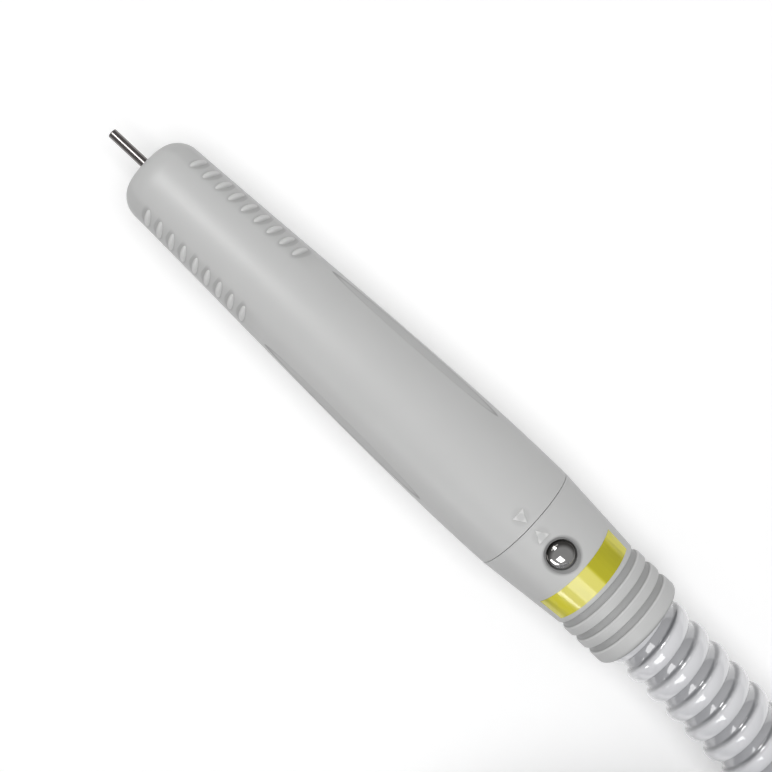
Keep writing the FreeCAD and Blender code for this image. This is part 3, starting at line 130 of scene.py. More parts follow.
class Finish:
    """One material, with its surface shader ready to be filled in."""

    def __init__(self, name):
        self.material = bpy.data.materials.new(name)
        self.material.use_nodes = True
        self.tree = self.material.node_tree
        self.surface = self.tree.nodes["Principled BSDF"]

    def node(self, kind, settings, inputs, output=0):
        made = self.tree.nodes.new(kind)
        for key, setting in settings.items():
            setattr(made, key, setting)
        for key, value in inputs.items():
            self.feed(made.inputs[key], value)
        return Value(self, made.outputs[output])

    def feed(self, socket, value):
        if isinstance(value, Value):
            self.tree.links.new(value.socket, socket)
        else:
            socket.default_value = value

    def maths(self, operation, first, second=0):
        return self.node("ShaderNodeMath", {"operation": operation}, {0: first, 1: second})

    def place(self, scale=(1, 1, 1), shift=(0, 0, 0)):
        """Object coordinates, stretched and moved."""
        spot = self.node("ShaderNodeTexCoord", {}, {}, "Object")
        moves = {"Vector": spot, "Scale": scale, "Location": shift}
        return self.node("ShaderNodeMapping", {}, moves)

    def body_axes(self):
        """Millimetres behind the nose face, to the side, and above the drive axis."""
        spot = self.place((1 / MM, 1 / MM, 1 / MM), (MIDDLE_X, 0, -AXIS_HEIGHT))
        split = self.node("ShaderNodeSeparateXYZ", {}, {"Vector": spot}).socket.node
        return [Value(self, axis) for axis in split.outputs]

    def length(self, first, second):
        """How far a point lies from a centre, from its two steps."""
        return self.maths("SQRT", first * first + second * second)

    def noise(self, per_metre, detail, stretch=(1, 1, 1)):
        """Soft random cloud, so many grains to the metre, around 0.5."""
        cloud = {"Vector": self.place(stretch), "Scale": per_metre, "Detail": detail}
        return self.node("ShaderNodeTexNoise", {}, cloud, "Fac")

    def spread(self, value, low, high):
        """The value's 0 to 1 moved to low to high."""
        ends = {"Value": value, "To Min": low, "To Max": high}
        return self.node("ShaderNodeMapRange", {}, ends, "Result")

    def step(self, value, low, high):
        """0 below low, 1 above high, and a soft edge between."""
        soft = {"interpolation_type": "SMOOTHSTEP"}
        ends = {"Value": value, "From Min": low, "From Max": high}
        return self.node("ShaderNodeMapRange", soft, ends, "Result")

    def between(self, value, rise, fall):
        """1 between two soft edges, each given by where it starts and ends."""
        return self.step(value, *rise) * (1 - self.step(value, *fall))

    def mix(self, amount, first, second):
        """Blend of two colours."""
        blend = self.tree.nodes.new("ShaderNodeMix")
        blend.data_type = "RGBA"
        self.feed(blend.inputs[0], amount)
        for socket, colour in ((blend.inputs[6], first), (blend.inputs[7], second)):
            self.feed(socket, colour if isinstance(colour, Value) else (*colour, 1.0))
        return Value(self, blend.outputs[2])

    def bump(self, height, millimetres, strength):
        """Raises the surface by so many millimetres where height is 1."""
        relief = {"Height": height, "Distance": millimetres * MM, "Strength": strength}
        return self.node("ShaderNodeBump", {}, relief)

    def set(self, **sockets):
        """Fills the shader's sockets. An underscore in a name stands for a space."""
        for key, value in sockets.items():
            socket = self.surface.inputs[key.replace("_", " ")]
            if isinstance(value, tuple) and len(value) == 3:
                value = (*value, 1.0)
            self.feed(socket, value)
        return self.material


print("shader helpers ready")

# %% [markdown]
# The body is moulded in a neutral light grey plastic with a fine satin grain. A flat colour would
# look like paint on glass, so the colour drifts by a few percent over centimetres, the gloss
# varies with a finer cloud, and a very fine grain breaks the highlight up. The grain is about
# 0.01 mm deep, as a spark-eroded mould leaves it. A piece can bring its own shading on top:
# painted shade in hollows and round the foot of raised shapes, and painted highlights.

# %% moulded plastic
COLOUR_DRIFT = 0.03
GLOSS_DRIFT = 0.06
COLOUR_CLOUDS = 60
GLOSS_CLOUDS = 350
GRAINS = 4200


def moulded_plastic(name, colour, roughness, grain=0.012, shading=None):
    """Clouds and grains are counted to the metre, and the grain's depth is in mm."""
    f = Finish(name)
    lighter = tuple(c * (1 + COLOUR_DRIFT) for c in colour)
    darker = tuple(c * (1 - COLOUR_DRIFT) for c in colour)
    base = f.mix(f.noise(COLOUR_CLOUDS, 3), darker, lighter)
    gloss = f.noise(GLOSS_CLOUDS, 4)
    return f.set(
        Base_Color=shading(f, base) if shading else base,
        Roughness=f.spread(gloss, roughness - GLOSS_DRIFT, roughness + GLOSS_DRIFT),
        Normal=f.bump(f.noise(GRAINS, 2), grain, 0.35),
        Specular_IOR_Level=0.28,
    )


# The pads' paler grey is painted light, the palest grey painted highlight, the dark grey painted
# shade.
BODY_GREY = (0.585, 0.587, 0.583)
PAD_LIT_GREY = (0.67, 0.67, 0.665)
PAINTED_HIGHLIGHT_GREY = (0.74, 0.74, 0.735)
PAINTED_SHADE_GREY = (0.25, 0.25, 0.25)
cuff_plastic = moulded_plastic("cuff_plastic", (0.62, 0.62, 0.60), 0.35)
plug_plastic = moulded_plastic("plug_plastic", (0.42, 0.42, 0.41), 0.5, 0.03)
cage_plastic = moulded_plastic("bearing_cage_plastic", (0.30, 0.17, 0.09), 0.5)
switch_plastic = moulded_plastic("switch_plastic", (0.02, 0.02, 0.021), 0.5)

# %% [markdown]
# Metal pieces here are nearly all turned or ground, and that shows as fine lines round the drive
# axis. A noise with thousands of grains to the metre along the axis and only a few across it
# gives those lines. The same function makes steel, brass and aluminium, because only the
# colour, the gloss and the depth of the lines differ.

# %% turned and ground metal
GRAINS_ACROSS = 40
SMEARS = 220
SMEARED = 0.86


def turned_metal(name, colour, roughness, lines=0.004, per_metre=9000):
    """Lines are so many millimetres deep, and smears darken the colour a little."""
    f = Finish(name)
    ring = f.noise(1.0, 2, (per_metre, GRAINS_ACROSS, GRAINS_ACROSS))
    darker = tuple(c * SMEARED for c in colour)
    return f.set(
        Base_Color=f.mix(f.noise(SMEARS, 3), darker, colour),
        Metallic=1.0,
        Roughness=f.spread(ring, roughness - 0.05, roughness + 0.08),
        Normal=f.bump(ring, lines, 0.5),
    )


shank_steel = turned_metal("ground_shank_steel", (0.24, 0.225, 0.22), 0.15, 0.001, 5000)
ground_steel = turned_metal("ground_steel", (0.56, 0.56, 0.57), 0.2)
spring_steel = turned_metal("blued_spring_steel", (0.16, 0.18, 0.24), 0.3)
turned_brass = turned_metal("turned_brass", (0.72, 0.53, 0.22), 0.25)
gold_plate = turned_metal("gold_plated_contact", (0.90, 0.66, 0.25), 0.15, 0.001)
anodised = turned_metal("anodised_aluminium", (0.70, 0.71, 0.73), 0.33, 0.006, 3000)
magnet_nickel = turned_metal("nickel_plated_magnet", (0.38, 0.37, 0.35), 0.28)

# %% [markdown]
# Rubber is dark and dull, with a dusty bloom. Circuit board is a green varnish over a woven
# laminate, windings are bundles of round enamelled wire, and a motor's core is a pack of thin
# sheets. Stripes of the right pitch, bumped and tinted, tell these apart even in a small view.

# %% rubber, board, copper and laminations
# A wave of scale 1 repeats every 0.314 m.
WAVE_REPEAT = 0.314


def soft_rubber(name, colour):
    f = Finish(name)
    bloom = f.noise(900, 5)
    return f.set(
        Base_Color=f.mix(bloom, colour, tuple(c * 1.6 + 0.01 for c in colour)),
        Roughness=f.spread(bloom, 0.6, 0.8),
        Normal=f.bump(f.noise(5000, 2), 0.01, 0.4),
    )


def striped(name, colour, dark, pitch_mm, metallic, roughness, depth):
    """Fine rounded stripes that follow each other along the drive axis."""
    f = Finish(name)
    wave = f.node(
        "ShaderNodeTexWave",
        {"wave_type": "BANDS", "bands_direction": "X"},
        {"Vector": f.place(), "Scale": WAVE_REPEAT / (pitch_mm * MM), "Distortion": 0.4},
        "Fac",
    )
    return f.set(
        Base_Color=f.mix(wave, dark, colour),
        Metallic=metallic,
        Roughness=f.spread(wave, roughness + 0.15, roughness),
        Normal=f.bump(wave, depth, 0.7),
    )


seal_rubber = soft_rubber("seal_rubber", (0.018, 0.018, 0.02))
cable_jacket = soft_rubber("cable_jacket", (0.09, 0.09, 0.095))
copper_wire = striped("enamelled_copper", (0.74, 0.33, 0.13), (0.22, 0.07, 0.03), 0.35, 1, 0.3, 0.1)
core_sheets = striped("core_laminations", (0.30, 0.31, 0.33), (0.10, 0.10, 0.11), 0.5, 1, 0.4, 0.03)
board_green = striped("circuit_board", (0.02, 0.16, 0.06), (0.015, 0.12, 0.045), 0.6, 0, 0.35, 0.01)

# %% [markdown]
# A new piece goes through the same last steps: merge what the spin doubled, point the faces
# outwards, mark the sharp edges, link the object at the origin, hang it on the body that it
# rides on, give it its finish, and hide the plain pieces that it stands for.

# %% finishing a piece
TOUCHING = 1e-7
BODY_STEPS = 192
SMALL_STEPS = 96


def clean(bm):
    """Merges points that touch, and points the faces outwards."""
    bmesh.ops.remove_doubles(bm, verts=bm.verts, dist=TOUCHING)
    bmesh.ops.recalc_face_normals(bm, faces=bm.faces)


def is_sharp(edge, degrees):
    return len(edge.link_faces) == 2 and edge.calc_face_angle() > math.radians(degrees)


def mark_sharp(bm, degrees):
    """Faces shade smoothly, except over edges sharper than so many degrees."""
    for face in bm.faces:
        face.smooth = True
    for edge in bm.edges:
        edge.smooth = not is_sharp(edge, degrees)


def as_object(bm, name):
    """The mesh in hand as a linked object."""
    mesh = bpy.data.meshes.new(name)
    bm.to_mesh(mesh)
    bm.free()
    obj = bpy.data.objects.new(name, mesh)
    bpy.context.collection.objects.link(obj)
    return obj


def finish_piece(name, bm, body, material, replaced=(), sharp=38, tidy=True):
    """Hands over one piece. Its edges are sharp from so many degrees on."""
    if tidy:
        clean(bm)
    mark_sharp(bm, sharp)
    obj = as_object(bm, name)
    obj.data.materials.append(material)
    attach(obj, body)
    if replaced:
        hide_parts(*replaced)
    print("%-22s %6d faces" % (name, len(obj.data.polygons)))
    return obj


def revolve(bm, geom, steps, advance=0.0, merge=True):
    """One turn about the x axis, moving so many metres along it with each step."""
    bmesh.ops.spin(
        bm,
        geom=geom,
        cent=(0, 0, 0),
        axis=(1, 0, 0),
        dvec=(advance, 0, 0),
        angle=2 * math.pi,
        steps=steps,
        use_merge=merge,
        use_duplicate=False,
    )


def spun(points, steps, closed=True):
    """Spins a profile of (x, radius) points, in mm, about the x axis."""
    bm = bmesh.new()
    line = [bm.verts.new((x * MM, 0, r * MM)) for x, r in points]
    pairs = list(zip(line, line[1:]))
    if closed:
        pairs.append((line[-1], line[0]))
    edges = [bm.edges.new(pair) for pair in pairs]
    revolve(bm, line + edges, steps)
    clean(bm)
    return bm


print("piece helpers ready")

# %% [markdown]
# The front sleeve is one long moulding: a rounded nose, a gentle taper up to a belly just before
# the seam, and a finger flute on each side. A spin makes the turned part. The flutes are scooped
# out with a long slender cutter, as a ball-nosed tool would, by a Boolean modifier, because only
# a true cut gives their crisp, pointed outline.

# %% front sleeve outline
OUTLINE_X = (6.1, 40.0, 77.0, 112.0, 118.25)
OUTLINE_RADIUS = (10.3, 11.87, 13.53, 14.13, 14.05)
SLEEVE_WALL = 1.5
NOSE_ROUND = 6.1
NOSE_FACE = 0.3
MOUTH_RADIUS = OUTLINE_RADIUS[0] - NOSE_ROUND - NOSE_FACE
MOUTH_EDGE = 0.12
SLEEVE_BORE = 12.45
BORE_START = 107.4
HOLLOW_END = 106.4
outline = np.polyfit(np.array(OUTLINE_X) / 100, OUTLINE_RADIUS, 4)


def body_radius(x):
    return float(np.polyval(outline, x / 100))


def arc_points(centre, radius, start, end, count):
    """Points on an arc in the (x, radius) plane, angles in degrees."""
    angles = np.radians(np.linspace(start, end, count))
    return [(centre[0] + radius * math.cos(a), centre[1] + radius * math.sin(a)) for a in angles]


def sleeve_profile():
    """Round the nose, along the outside to the seam, and back along the inside."""
    nose_centre = (NOSE_ROUND, OUTLINE_RADIUS[0] - NOSE_ROUND)
    nose = arc_points(nose_centre, NOSE_ROUND, 180, 96, 22)
    outside = [(x, body_radius(x)) for x in np.linspace(NOSE_ROUND, OUTLINE_X[-1], 110)]
    inside = [(x, body_radius(x) - SLEEVE_WALL) for x in np.linspace(HOLLOW_END, NOSE_ROUND, 26)]
    rear = [(OUTLINE_X[-1], SLEEVE_BORE), (BORE_START, SLEEVE_BORE)]
    inner_nose = arc_points(nose_centre, NOSE_ROUND - SLEEVE_WALL, 90, 180, 12)[1:]
    mouth = [(SLEEVE_WALL, MOUTH_RADIUS), (MOUTH_EDGE, MOUTH_RADIUS)]
    mouth.append((0.0, MOUTH_RADIUS + MOUTH_EDGE))
    return nose + outside + rear + inside + inner_nose + mouth


print("belly radius %.2f mm" % body_radius(OUTLINE_X[3]))

# %% flutes and how they are cut
FLUTE_ANGLE = 67.0
FLUTE_X = 72.0
FLUTE_LENGTH = 50.0
FLUTE_DEPTH = 0.40
FLUTE_ROUND = 12.0
CUTTER_OVERRUN = 4


def flute_cutter(side):
    """A slender spindle whose middle dips into the sleeve, on side 1 or -1."""
    ends = (FLUTE_X - FLUTE_LENGTH / 2, FLUTE_X + FLUTE_LENGTH / 2)
    rise = math.atan2(body_radius(ends[1]) - body_radius(ends[0]), FLUTE_LENGTH)
    chord = (body_radius(ends[0]) + body_radius(ends[1])) / 2
    middle = body_radius(FLUTE_X)
    sagitta = max(FLUTE_DEPTH + chord - middle, FLUTE_DEPTH / 4)
    long_round = (FLUTE_LENGTH / 2) ** 2 / (2 * sagitta)
    reach = FLUTE_LENGTH / 2 + CUTTER_OVERRUN
    stations = np.linspace(-reach, reach, 41)
    flank = [(x, FLUTE_ROUND - x * x / (2 * long_round)) for x in stations]
    bm = spun([(-reach, 0)] + flank + [(reach, 0)], 256, closed=False)
    height = (middle + FLUTE_ROUND - FLUTE_DEPTH) * MM
    lay = Matrix.Translation((FLUTE_X * MM, 0, height)) @ Matrix.Rotation(-rise, 4, "Y")
    bmesh.ops.transform(bm, matrix=ON_AXIS @ turn(side * FLUTE_ANGLE) @ lay, verts=bm.verts)
    return bm


def cut_away(bm, cutters):
    """The mesh with each cutter's shape taken out of it."""
    work = as_object(bm, "blank")
    tools = [as_object(cutter, "cutter") for cutter in cutters]
    for tool in tools:
        cut = work.modifiers.new("cut", "BOOLEAN")
        cut.object = tool
        cut.operation = "DIFFERENCE"
        cut.solver = "EXACT"
    graph = bpy.context.evaluated_depsgraph_get()
    result = bpy.data.meshes.new_from_object(work.evaluated_get(graph))
    done = bmesh.new()
    done.from_mesh(result)
    bpy.data.meshes.remove(result)
    for obj in tools + [work]:
        mesh = obj.data
        bpy.data.objects.remove(obj)
        bpy.data.meshes.remove(mesh)
    return done


def note_hollows(bm):
    """Stores on each point of a flute how deep it lies, for the painted shade in the flute."""
    layer = bm.verts.layers.float.new("hollow")
    to_body = ON_AXIS.inverted()
    for vert in bm.verts:
        x, y, z = (to_body @ vert.co) / MM
        depth = body_radius(x) - math.hypot(y, z)
        in_flute = abs(x - FLUTE_X) < FLUTE_LENGTH and depth < 1.5 * FLUTE_DEPTH
        vert[layer] = max(0.0, depth) if in_flute else 0.0


# %% [markdown]
# The sleeve's plastic carries painted shade: it is darker in the flutes, round the foot of each
# grip pad, along each row of pads and round the alignment mark. The flutes stored their depth,
# and the pads and the mark are found again from their measures: the angle round the axis says
# which row is near, and rounding the distance along it says which pad.

# %% sleeve plastic
PADS_PER_ROW = 9
PAD_FIRST_X = 9.2
PAD_PITCH = 3.74
PAD_SIZE = (0.95, 2.9, 1.2)
PAD_HEIGHT = 0.6
PAD_ROOT = 0.5
PAD_LEAN = 16.0
PAD_ROW_ANGLES = (55.0, 125.0, -55.0, -125.0)
PAD_ROW_RADIUS = 11.2
MARK_SIDE = 3.5
MARK_OFFSET = 3.2
# Where each painted shade and highlight starts and ends in mm, round a pad in half pads, and how
# strong it is.
PAD_FOOT_HALF = (1.15, 2.7)
# The painted shadow round a pad's foot is shifted to one side, away from the window.
PAD_FOOT_SHIFT = 0.35
PAD_FOOT_EDGE = (0.9, 1.5)
ROW_EDGE = (1.8, 4.0)
ROW_END = (38, 46)
FLUTE_EDGE = (0.002, 0.015)
FLUTE_FLOOR = (0.02, 0.1)
MARK_FOOT_EDGE = (1.5, 2.6)
PAD_SIDE = (0.1, 1.0)
MARK_EDGE = (0.6, 1.3)
PAD_SIDE_SHADE = 0.5
PAD_FOOT_SHADE = 0.34
ROW_SHADE = 0.12
FLUTE_SHADE = 0.55
MARK_SHADE = 0.16


def near_pad(f):
    """Steps across and along the nearest pad in mm, and the side of the body that it is on."""
    x, y, z = f.body_axes()
    pitches = f.maths("ROUND", (x - PAD_FIRST_X) / PAD_PITCH)
    number = f.maths("MINIMUM", f.maths("MAXIMUM", pitches, 0), PADS_PER_ROW - 1)
    from_side = f.maths("ABSOLUTE", f.maths("ARCTAN2", y, z)) - math.pi / 2
    row = f.maths("SIGN", from_side) * math.radians(90 - PAD_ROW_ANGLES[0])
    along = (from_side - row) * PAD_ROW_RADIUS
    across = x - PAD_FIRST_X - number * PAD_PITCH - along * math.tan(math.radians(PAD_LEAN))
    return across, along, f.maths("SIGN", y)


def mark_foot(f, mark_x):
    """1 round the foot of an alignment mark, and 0 elsewhere: where its painted shade goes."""
    x, y, z = f.body_axes()
    return (1 - f.step(f.length(x - mark_x, y), *MARK_FOOT_EDGE)) * f.step(z, 0, 1)


def sleeve_shading(f, base):
    """Painted shade: darker round each pad and along its row, in the flutes and round the mark."""
    across, along, side = near_pad(f)
    x = f.body_axes()[0]
    half_across, half_along = PAD_FOOT_HALF
    reach = f.length((across - side * PAD_FOOT_SHIFT) / half_across, along / half_along)
    foot = 1 - f.step(reach, *PAD_FOOT_EDGE)
    row = (1 - f.step(f.maths("ABSOLUTE", along), *ROW_EDGE)) * (1 - f.step(x, *ROW_END))
    hollow = f.node("ShaderNodeAttribute", {"attribute_name": "hollow"}, {}, "Fac")
    # Painted shade in a flute, darkest along its edges.
    flute = f.step(hollow, *FLUTE_EDGE) * (1.3 - f.step(hollow, *FLUTE_FLOOR))
    mark = mark_foot(f, SLEEVE_LENGTH - MARK_OFFSET)
    dark = foot * PAD_FOOT_SHADE + row * ROW_SHADE + flute * FLUTE_SHADE + mark * MARK_SHADE
    return f.mix(dark.clamped(), base, PAINTED_SHADE_GREY)


def pad_shading(f, base):
    """A pad's paler grey is painted light, with painted shade on the side away from the window."""
    across, along, side = near_pad(f)
    return f.mix(f.step(across * side, *PAD_SIDE) * PAD_SIDE_SHADE, base, PAINTED_SHADE_GREY)


def mark_shading(f, base):
    """Both marks get a painted highlight, paler towards their edges."""
    x, y = f.body_axes()[:2]
    from_middle = f.maths("ABSOLUTE", x - SLEEVE_LENGTH) - MARK_OFFSET
    return f.mix(f.step(f.length(from_middle, y), *MARK_EDGE), base, PAINTED_HIGHLIGHT_GREY)


sleeve_plastic = moulded_plastic("satin_sleeve_plastic", BODY_GREY, 0.42, shading=sleeve_shading)
pad_plastic = moulded_plastic("grip_pad_plastic", PAD_LIT_GREY, 0.38, shading=pad_shading)
mark_plastic = moulded_plastic("alignment_mark_plastic", BODY_GREY, 0.38, shading=mark_shading)

# %% the finished sleeve
sleeve = spun(sleeve_profile(), BODY_STEPS)
bmesh.ops.transform(sleeve, matrix=ON_AXIS, verts=sleeve.verts)
sleeve = cut_away(sleeve, [flute_cutter(1), flute_cutter(-1)])
note_hollows(sleeve)
finish_piece(
    "front_sleeve_shell", sleeve, "sleeve", sleeve_plastic, ["front_sleeve"], 12
)

# %% [markdown]
# Four rows of small pads like grains of rice give the fingers a hold. One grain is a sphere,
# stretched and a little narrower towards its ends. It is copied along each row, leaned a
# little, and sunk so that only its top stands out of the sleeve.

# %% grip pads
PAD_PINCH = 0.1


def grain():
    """One pad on the origin, its long way along y."""
    bm = bmesh.new()
    bmesh.ops.create_uvsphere(bm, u_segments=20, v_segments=14, radius=1.0)
    lying = Matrix.Rotation(math.pi / 2, 3, "X")
    bmesh.ops.rotate(bm, cent=(0, 0, 0), matrix=lying, verts=bm.verts)
    for vert in bm.verts:
        pinch = 1 - PAD_PINCH * vert.co.y**2
        vert.co.x *= pinch
        vert.co.z *= pinch
    bmesh.ops.scale(bm, vec=Vector(PAD_SIZE) * MM, verts=bm.verts)
    for vert in bm.verts:
        vert.co.z = max(vert.co.z, -PAD_ROOT * MM)
    return bm


def grip_pads():
    rows = bmesh.new()
    for angle in PAD_ROW_ANGLES:
        lean = math.radians(math.copysign(PAD_LEAN, angle))
        for i in range(PADS_PER_ROW):
            x = PAD_FIRST_X + i * PAD_PITCH
            sunk = (body_radius(x) - PAD_SIZE[2] + PAD_HEIGHT) * MM
            one = grain()
            place = Matrix.Translation((x * MM, 0, sunk)) @ Matrix.Rotation(lean, 4, "Z")
            bmesh.ops.transform(one, matrix=ON_AXIS @ turn(angle) @ place, verts=one.verts)
            copy = bpy.data.meshes.new("grain")
            one.to_mesh(copy)
            one.free()
            rows.from_mesh(copy)
            bpy.data.meshes.remove(copy)
    return rows


finish_piece("grip_pads", grip_pads(), "sleeve", pad_plastic, sharp=60)

# %% [markdown]
# The rear collar is turned too: a short cone behind the seam, three grooves with lands between
# them, and a wider rounded land at the end. The button sits in a dished well. Its cutter flares
# out like a trumpet, so that the rim of the well is soft, as it is on the moulding.

# %% rear collar profile
CONE_SLOPE = 0.0815
SEAM_RADIUS = 14.05
GROOVE_START = 22.7
GROOVE_PITCH = 4.25
GROOVE_WIDTH = 1.65
GROOVE_RADIUS = 11.75
LAND_RADIUS = 12.42
COLLAR_BORE = 10.95
COLLAR_MOUTH = 10.5
MOUTH_DEPTH = 1.5
REAR_ROUND = 1.5
REAR_LIP = 0.6
SPIGOT_START = 107.5
SPIGOT_RADIUS = 12.40
SEAM_DROP = 0.2
SEAM_LIP = 0.06
SEAM_EDGE = 0.22
CONE_END = 140.2
GROOVES = 3
LAND_END_ROUND = 0.35
LAND_START_ROUND = 0.5
FLOOR_START_ROUND = 0.2
FLOOR_START_STEP = 0.25
FLOOR_END_ROUND = 0.3


def cone_radius(x):
    return SEAM_RADIUS - CONE_SLOPE * (x - SLEEVE_LENGTH)


def collar_profile():
    """Spigot, seam, cone, grooves and rear rim, and back inside."""
    points = [
        (SPIGOT_START, COLLAR_BORE),
        (SPIGOT_START, SPIGOT_RADIUS),
        (SLEEVE_LENGTH, SPIGOT_RADIUS),
        (SLEEVE_LENGTH, SEAM_RADIUS - SEAM_DROP),
        (SLEEVE_LENGTH + SEAM_LIP, SEAM_RADIUS - SEAM_LIP),
        (SLEEVE_LENGTH + SEAM_EDGE, cone_radius(SLEEVE_LENGTH + SEAM_EDGE)),
    ]
    points += [(x, cone_radius(x)) for x in np.linspace(SLEEVE_LENGTH + 1, CONE_END, 18)]
    for i in range(GROOVES):
        front = SLEEVE_LENGTH + GROOVE_START + i * GROOVE_PITCH
        rear = front + GROOVE_WIDTH
        land = cone_radius(front) if i == 0 else LAND_RADIUS
        floor_start = front + FLOOR_START_STEP
        rounds = (
            (front - LAND_END_ROUND, land - LAND_END_ROUND, LAND_END_ROUND, 80, 20, 4),
            (floor_start, GROOVE_RADIUS + FLOOR_START_ROUND, FLOOR_START_ROUND, 200, 260, 3),
            (rear - FLOOR_END_ROUND, GROOVE_RADIUS + FLOOR_END_ROUND, FLOOR_END_ROUND, 280, 340, 3),
            (rear + LAND_START_ROUND, LAND_RADIUS - LAND_START_ROUND, LAND_START_ROUND, 150, 95, 4),
        )
        for x, radius, *arc in rounds:
            points += arc_points((x, radius), *arc)
    rear_end = BODY_LENGTH + REAR_LIP
    points += arc_points((rear_end - REAR_ROUND, LAND_RADIUS - REAR_ROUND), REAR_ROUND, 88, 2, 10)
    return points + [
        (rear_end, COLLAR_MOUTH),
        (BODY_LENGTH - MOUTH_DEPTH, COLLAR_MOUTH),
        (BODY_LENGTH - MOUTH_DEPTH, COLLAR_BORE),
    ]


print("collar profile points:", len(collar_profile()))

# %% rear collar with the button's well
BUTTON_X = SLEEVE_LENGTH + 9.8
CONE_ANGLE = math.atan(CONE_SLOPE)
ON_BUTTON = (
    ON_AXIS
    @ Matrix.Translation(Vector((BUTTON_X, 0, cone_radius(BUTTON_X))) * MM)
    @ Matrix.Rotation(CONE_ANGLE, 4, "Y")
)
UPRIGHT = Matrix.Rotation(math.radians(-90), 4, "Y")
WELL_RADIUS = 4.35
WELL_FLOOR_RADIUS = 3.65
WELL_DEPTH = 0.95
BUTTON_HOLE = 3.5
HOLE_DEPTH = 6.0
RIM_ROUND = 0.55
RIM_LIFT = 0.35
RIM_FLARE = 0.9
CUTTER_TOP = 1.5
# Where each painted shade and highlight starts and ends in mm, and how strong it is.
SOFT = 0.1
GROOVED_FROM = (-0.15, 0.1)
PALE_EDGE = (0.2, 0.6)
WELL_EDGE = (WELL_RADIUS - 0.3, WELL_RADIUS + 0.6)
ON_LAND = (12.0, 12.3)
GROOVE_SHADE = 0.6
WELL_SHADE = 0.75
EDGE_LIGHT = 0.6


def button_cutter():
    """Straight hole, soft-cornered well and flared rim, drawn along x and stood up."""
    rim = arc_points((-RIM_ROUND, WELL_RADIUS + RIM_ROUND), RIM_ROUND, 270, 330, 6)
    flare = [(x + RIM_LIFT, r) for x, r in rim]
    points = [
        (-HOLE_DEPTH, 0),
        (-HOLE_DEPTH, BUTTON_HOLE),
        (-WELL_DEPTH - 0.3, BUTTON_HOLE),
        (-WELL_DEPTH, WELL_FLOOR_RADIUS - 0.05),
        (-WELL_DEPTH + 0.15, WELL_FLOOR_RADIUS + 0.12),
        *flare,
        (CUTTER_TOP, flare[-1][1] + RIM_FLARE),
        (CUTTER_TOP, 0),
    ]
    bm = spun(points, SMALL_STEPS, closed=False)
    bmesh.ops.transform(bm, matrix=ON_BUTTON @ UPRIGHT, verts=bm.verts)
    return bm


def collar_shading(f, base):
    """Painted shade on the groove floors and as a dark ring round the button, and a painted
    highlight behind each groove.
    """
    x, y, z = f.body_axes()
    behind = x - (SLEEVE_LENGTH + GROOVE_START)
    radius = f.length(y, z)
    floor = 1 - f.step(radius, GROOVE_RADIUS + SOFT, LAND_RADIUS - SOFT)
    past_groove = f.maths("FLOORED_MODULO", behind, GROOVE_PITCH) - GROOVE_WIDTH
    edge = f.between(past_groove, (-SOFT, SOFT), PALE_EDGE)
    grooved = f.step(behind, *GROOVED_FROM)
    well = (1 - f.step(f.length(x - BUTTON_X, y), *WELL_EDGE)) * f.step(z, 0, 1)
    mark = mark_foot(f, SLEEVE_LENGTH + MARK_OFFSET)
    dark = floor * grooved * GROOVE_SHADE + well * WELL_SHADE + mark * MARK_SHADE
    shaded = f.mix(dark.clamped(), base, PAINTED_SHADE_GREY)
    # Painted highlight on the land's edge behind each groove.
    pale = edge * grooved * f.step(radius, *ON_LAND) * EDGE_LIGHT
    return f.mix(pale, shaded, PAINTED_HIGHLIGHT_GREY)


collar_plastic = moulded_plastic("satin_collar_plastic", BODY_GREY, 0.42, shading=collar_shading)
collar = spun(collar_profile(), BODY_STEPS)
bmesh.ops.transform(collar, matrix=ON_AXIS, verts=collar.verts)
collar = cut_away(collar, [button_cutter()])
finish_piece(
    "rear_collar_shell", collar, "handle", collar_plastic, ["rear_collar"], 25
)

# %% [markdown]
# A raised triangle on each side of the seam shows how far the sleeve is turned. A three-sided
# disc from create_circle, extruded and bevelled, makes both, one pointing each way.

# %% alignment marks
MARK_HEIGHT = 0.28
MARK_ROOT = 0.5
MARK_ROUND = 0.25


def mark(x, radius, slope, points_rearward):
    """One raised triangle with soft edges, rooted in the surface at x."""
    bm = bmesh.new()
    made = bmesh.ops.create_circle(
        bm, cap_ends=True, segments=3, radius=MARK_SIDE / math.sqrt(3) * MM
    )
    heading = -90 if points_rearward else 90
    facing = Matrix.Rotation(math.radians(heading), 3, "Z")
    bmesh.ops.rotate(bm, cent=(0, 0, 0), matrix=facing, verts=made["verts"])
    top = bmesh.ops.extrude_face_region(bm, geom=bm.faces[:])
    lifted = [item for item in top["geom"] if isinstance(item, bmesh.types.BMVert)]
    bmesh.ops.translate(bm, vec=(0, 0, (MARK_HEIGHT + MARK_ROOT) * MM), verts=lifted)
    bmesh.ops.translate(bm, vec=(0, 0, -MARK_ROOT * MM), verts=bm.verts)
    bmesh.ops.recalc_face_normals(bm, faces=bm.faces)
    bmesh.ops.bevel(
        bm,
        geom=[edge for edge in bm.edges if is_sharp(edge, 20)],
        offset=MARK_ROUND * MM,
        offset_type="OFFSET",
        segments=4,
        profile=0.5,
        affect="EDGES",
        material=-1,
        clamp_overlap=True,
    )
    lay = Matrix.Translation((x * MM, 0, radius * MM)) @ Matrix.Rotation(slope, 4, "Y")
    bmesh.ops.transform(bm, matrix=ON_AXIS @ lay, verts=bm.verts)
    return bm


front_mark_x = SLEEVE_LENGTH - MARK_OFFSET
rear_mark_x = SLEEVE_LENGTH + MARK_OFFSET
front_mark = mark(front_mark_x, body_radius(front_mark_x), 0.0, True)
rear_mark = mark(rear_mark_x, cone_radius(rear_mark_x), CONE_ANGLE, False)
finish_piece("sleeve_mark", front_mark, "sleeve", mark_plastic)
finish_piece("collar_mark", rear_mark, "handle", mark_plastic)

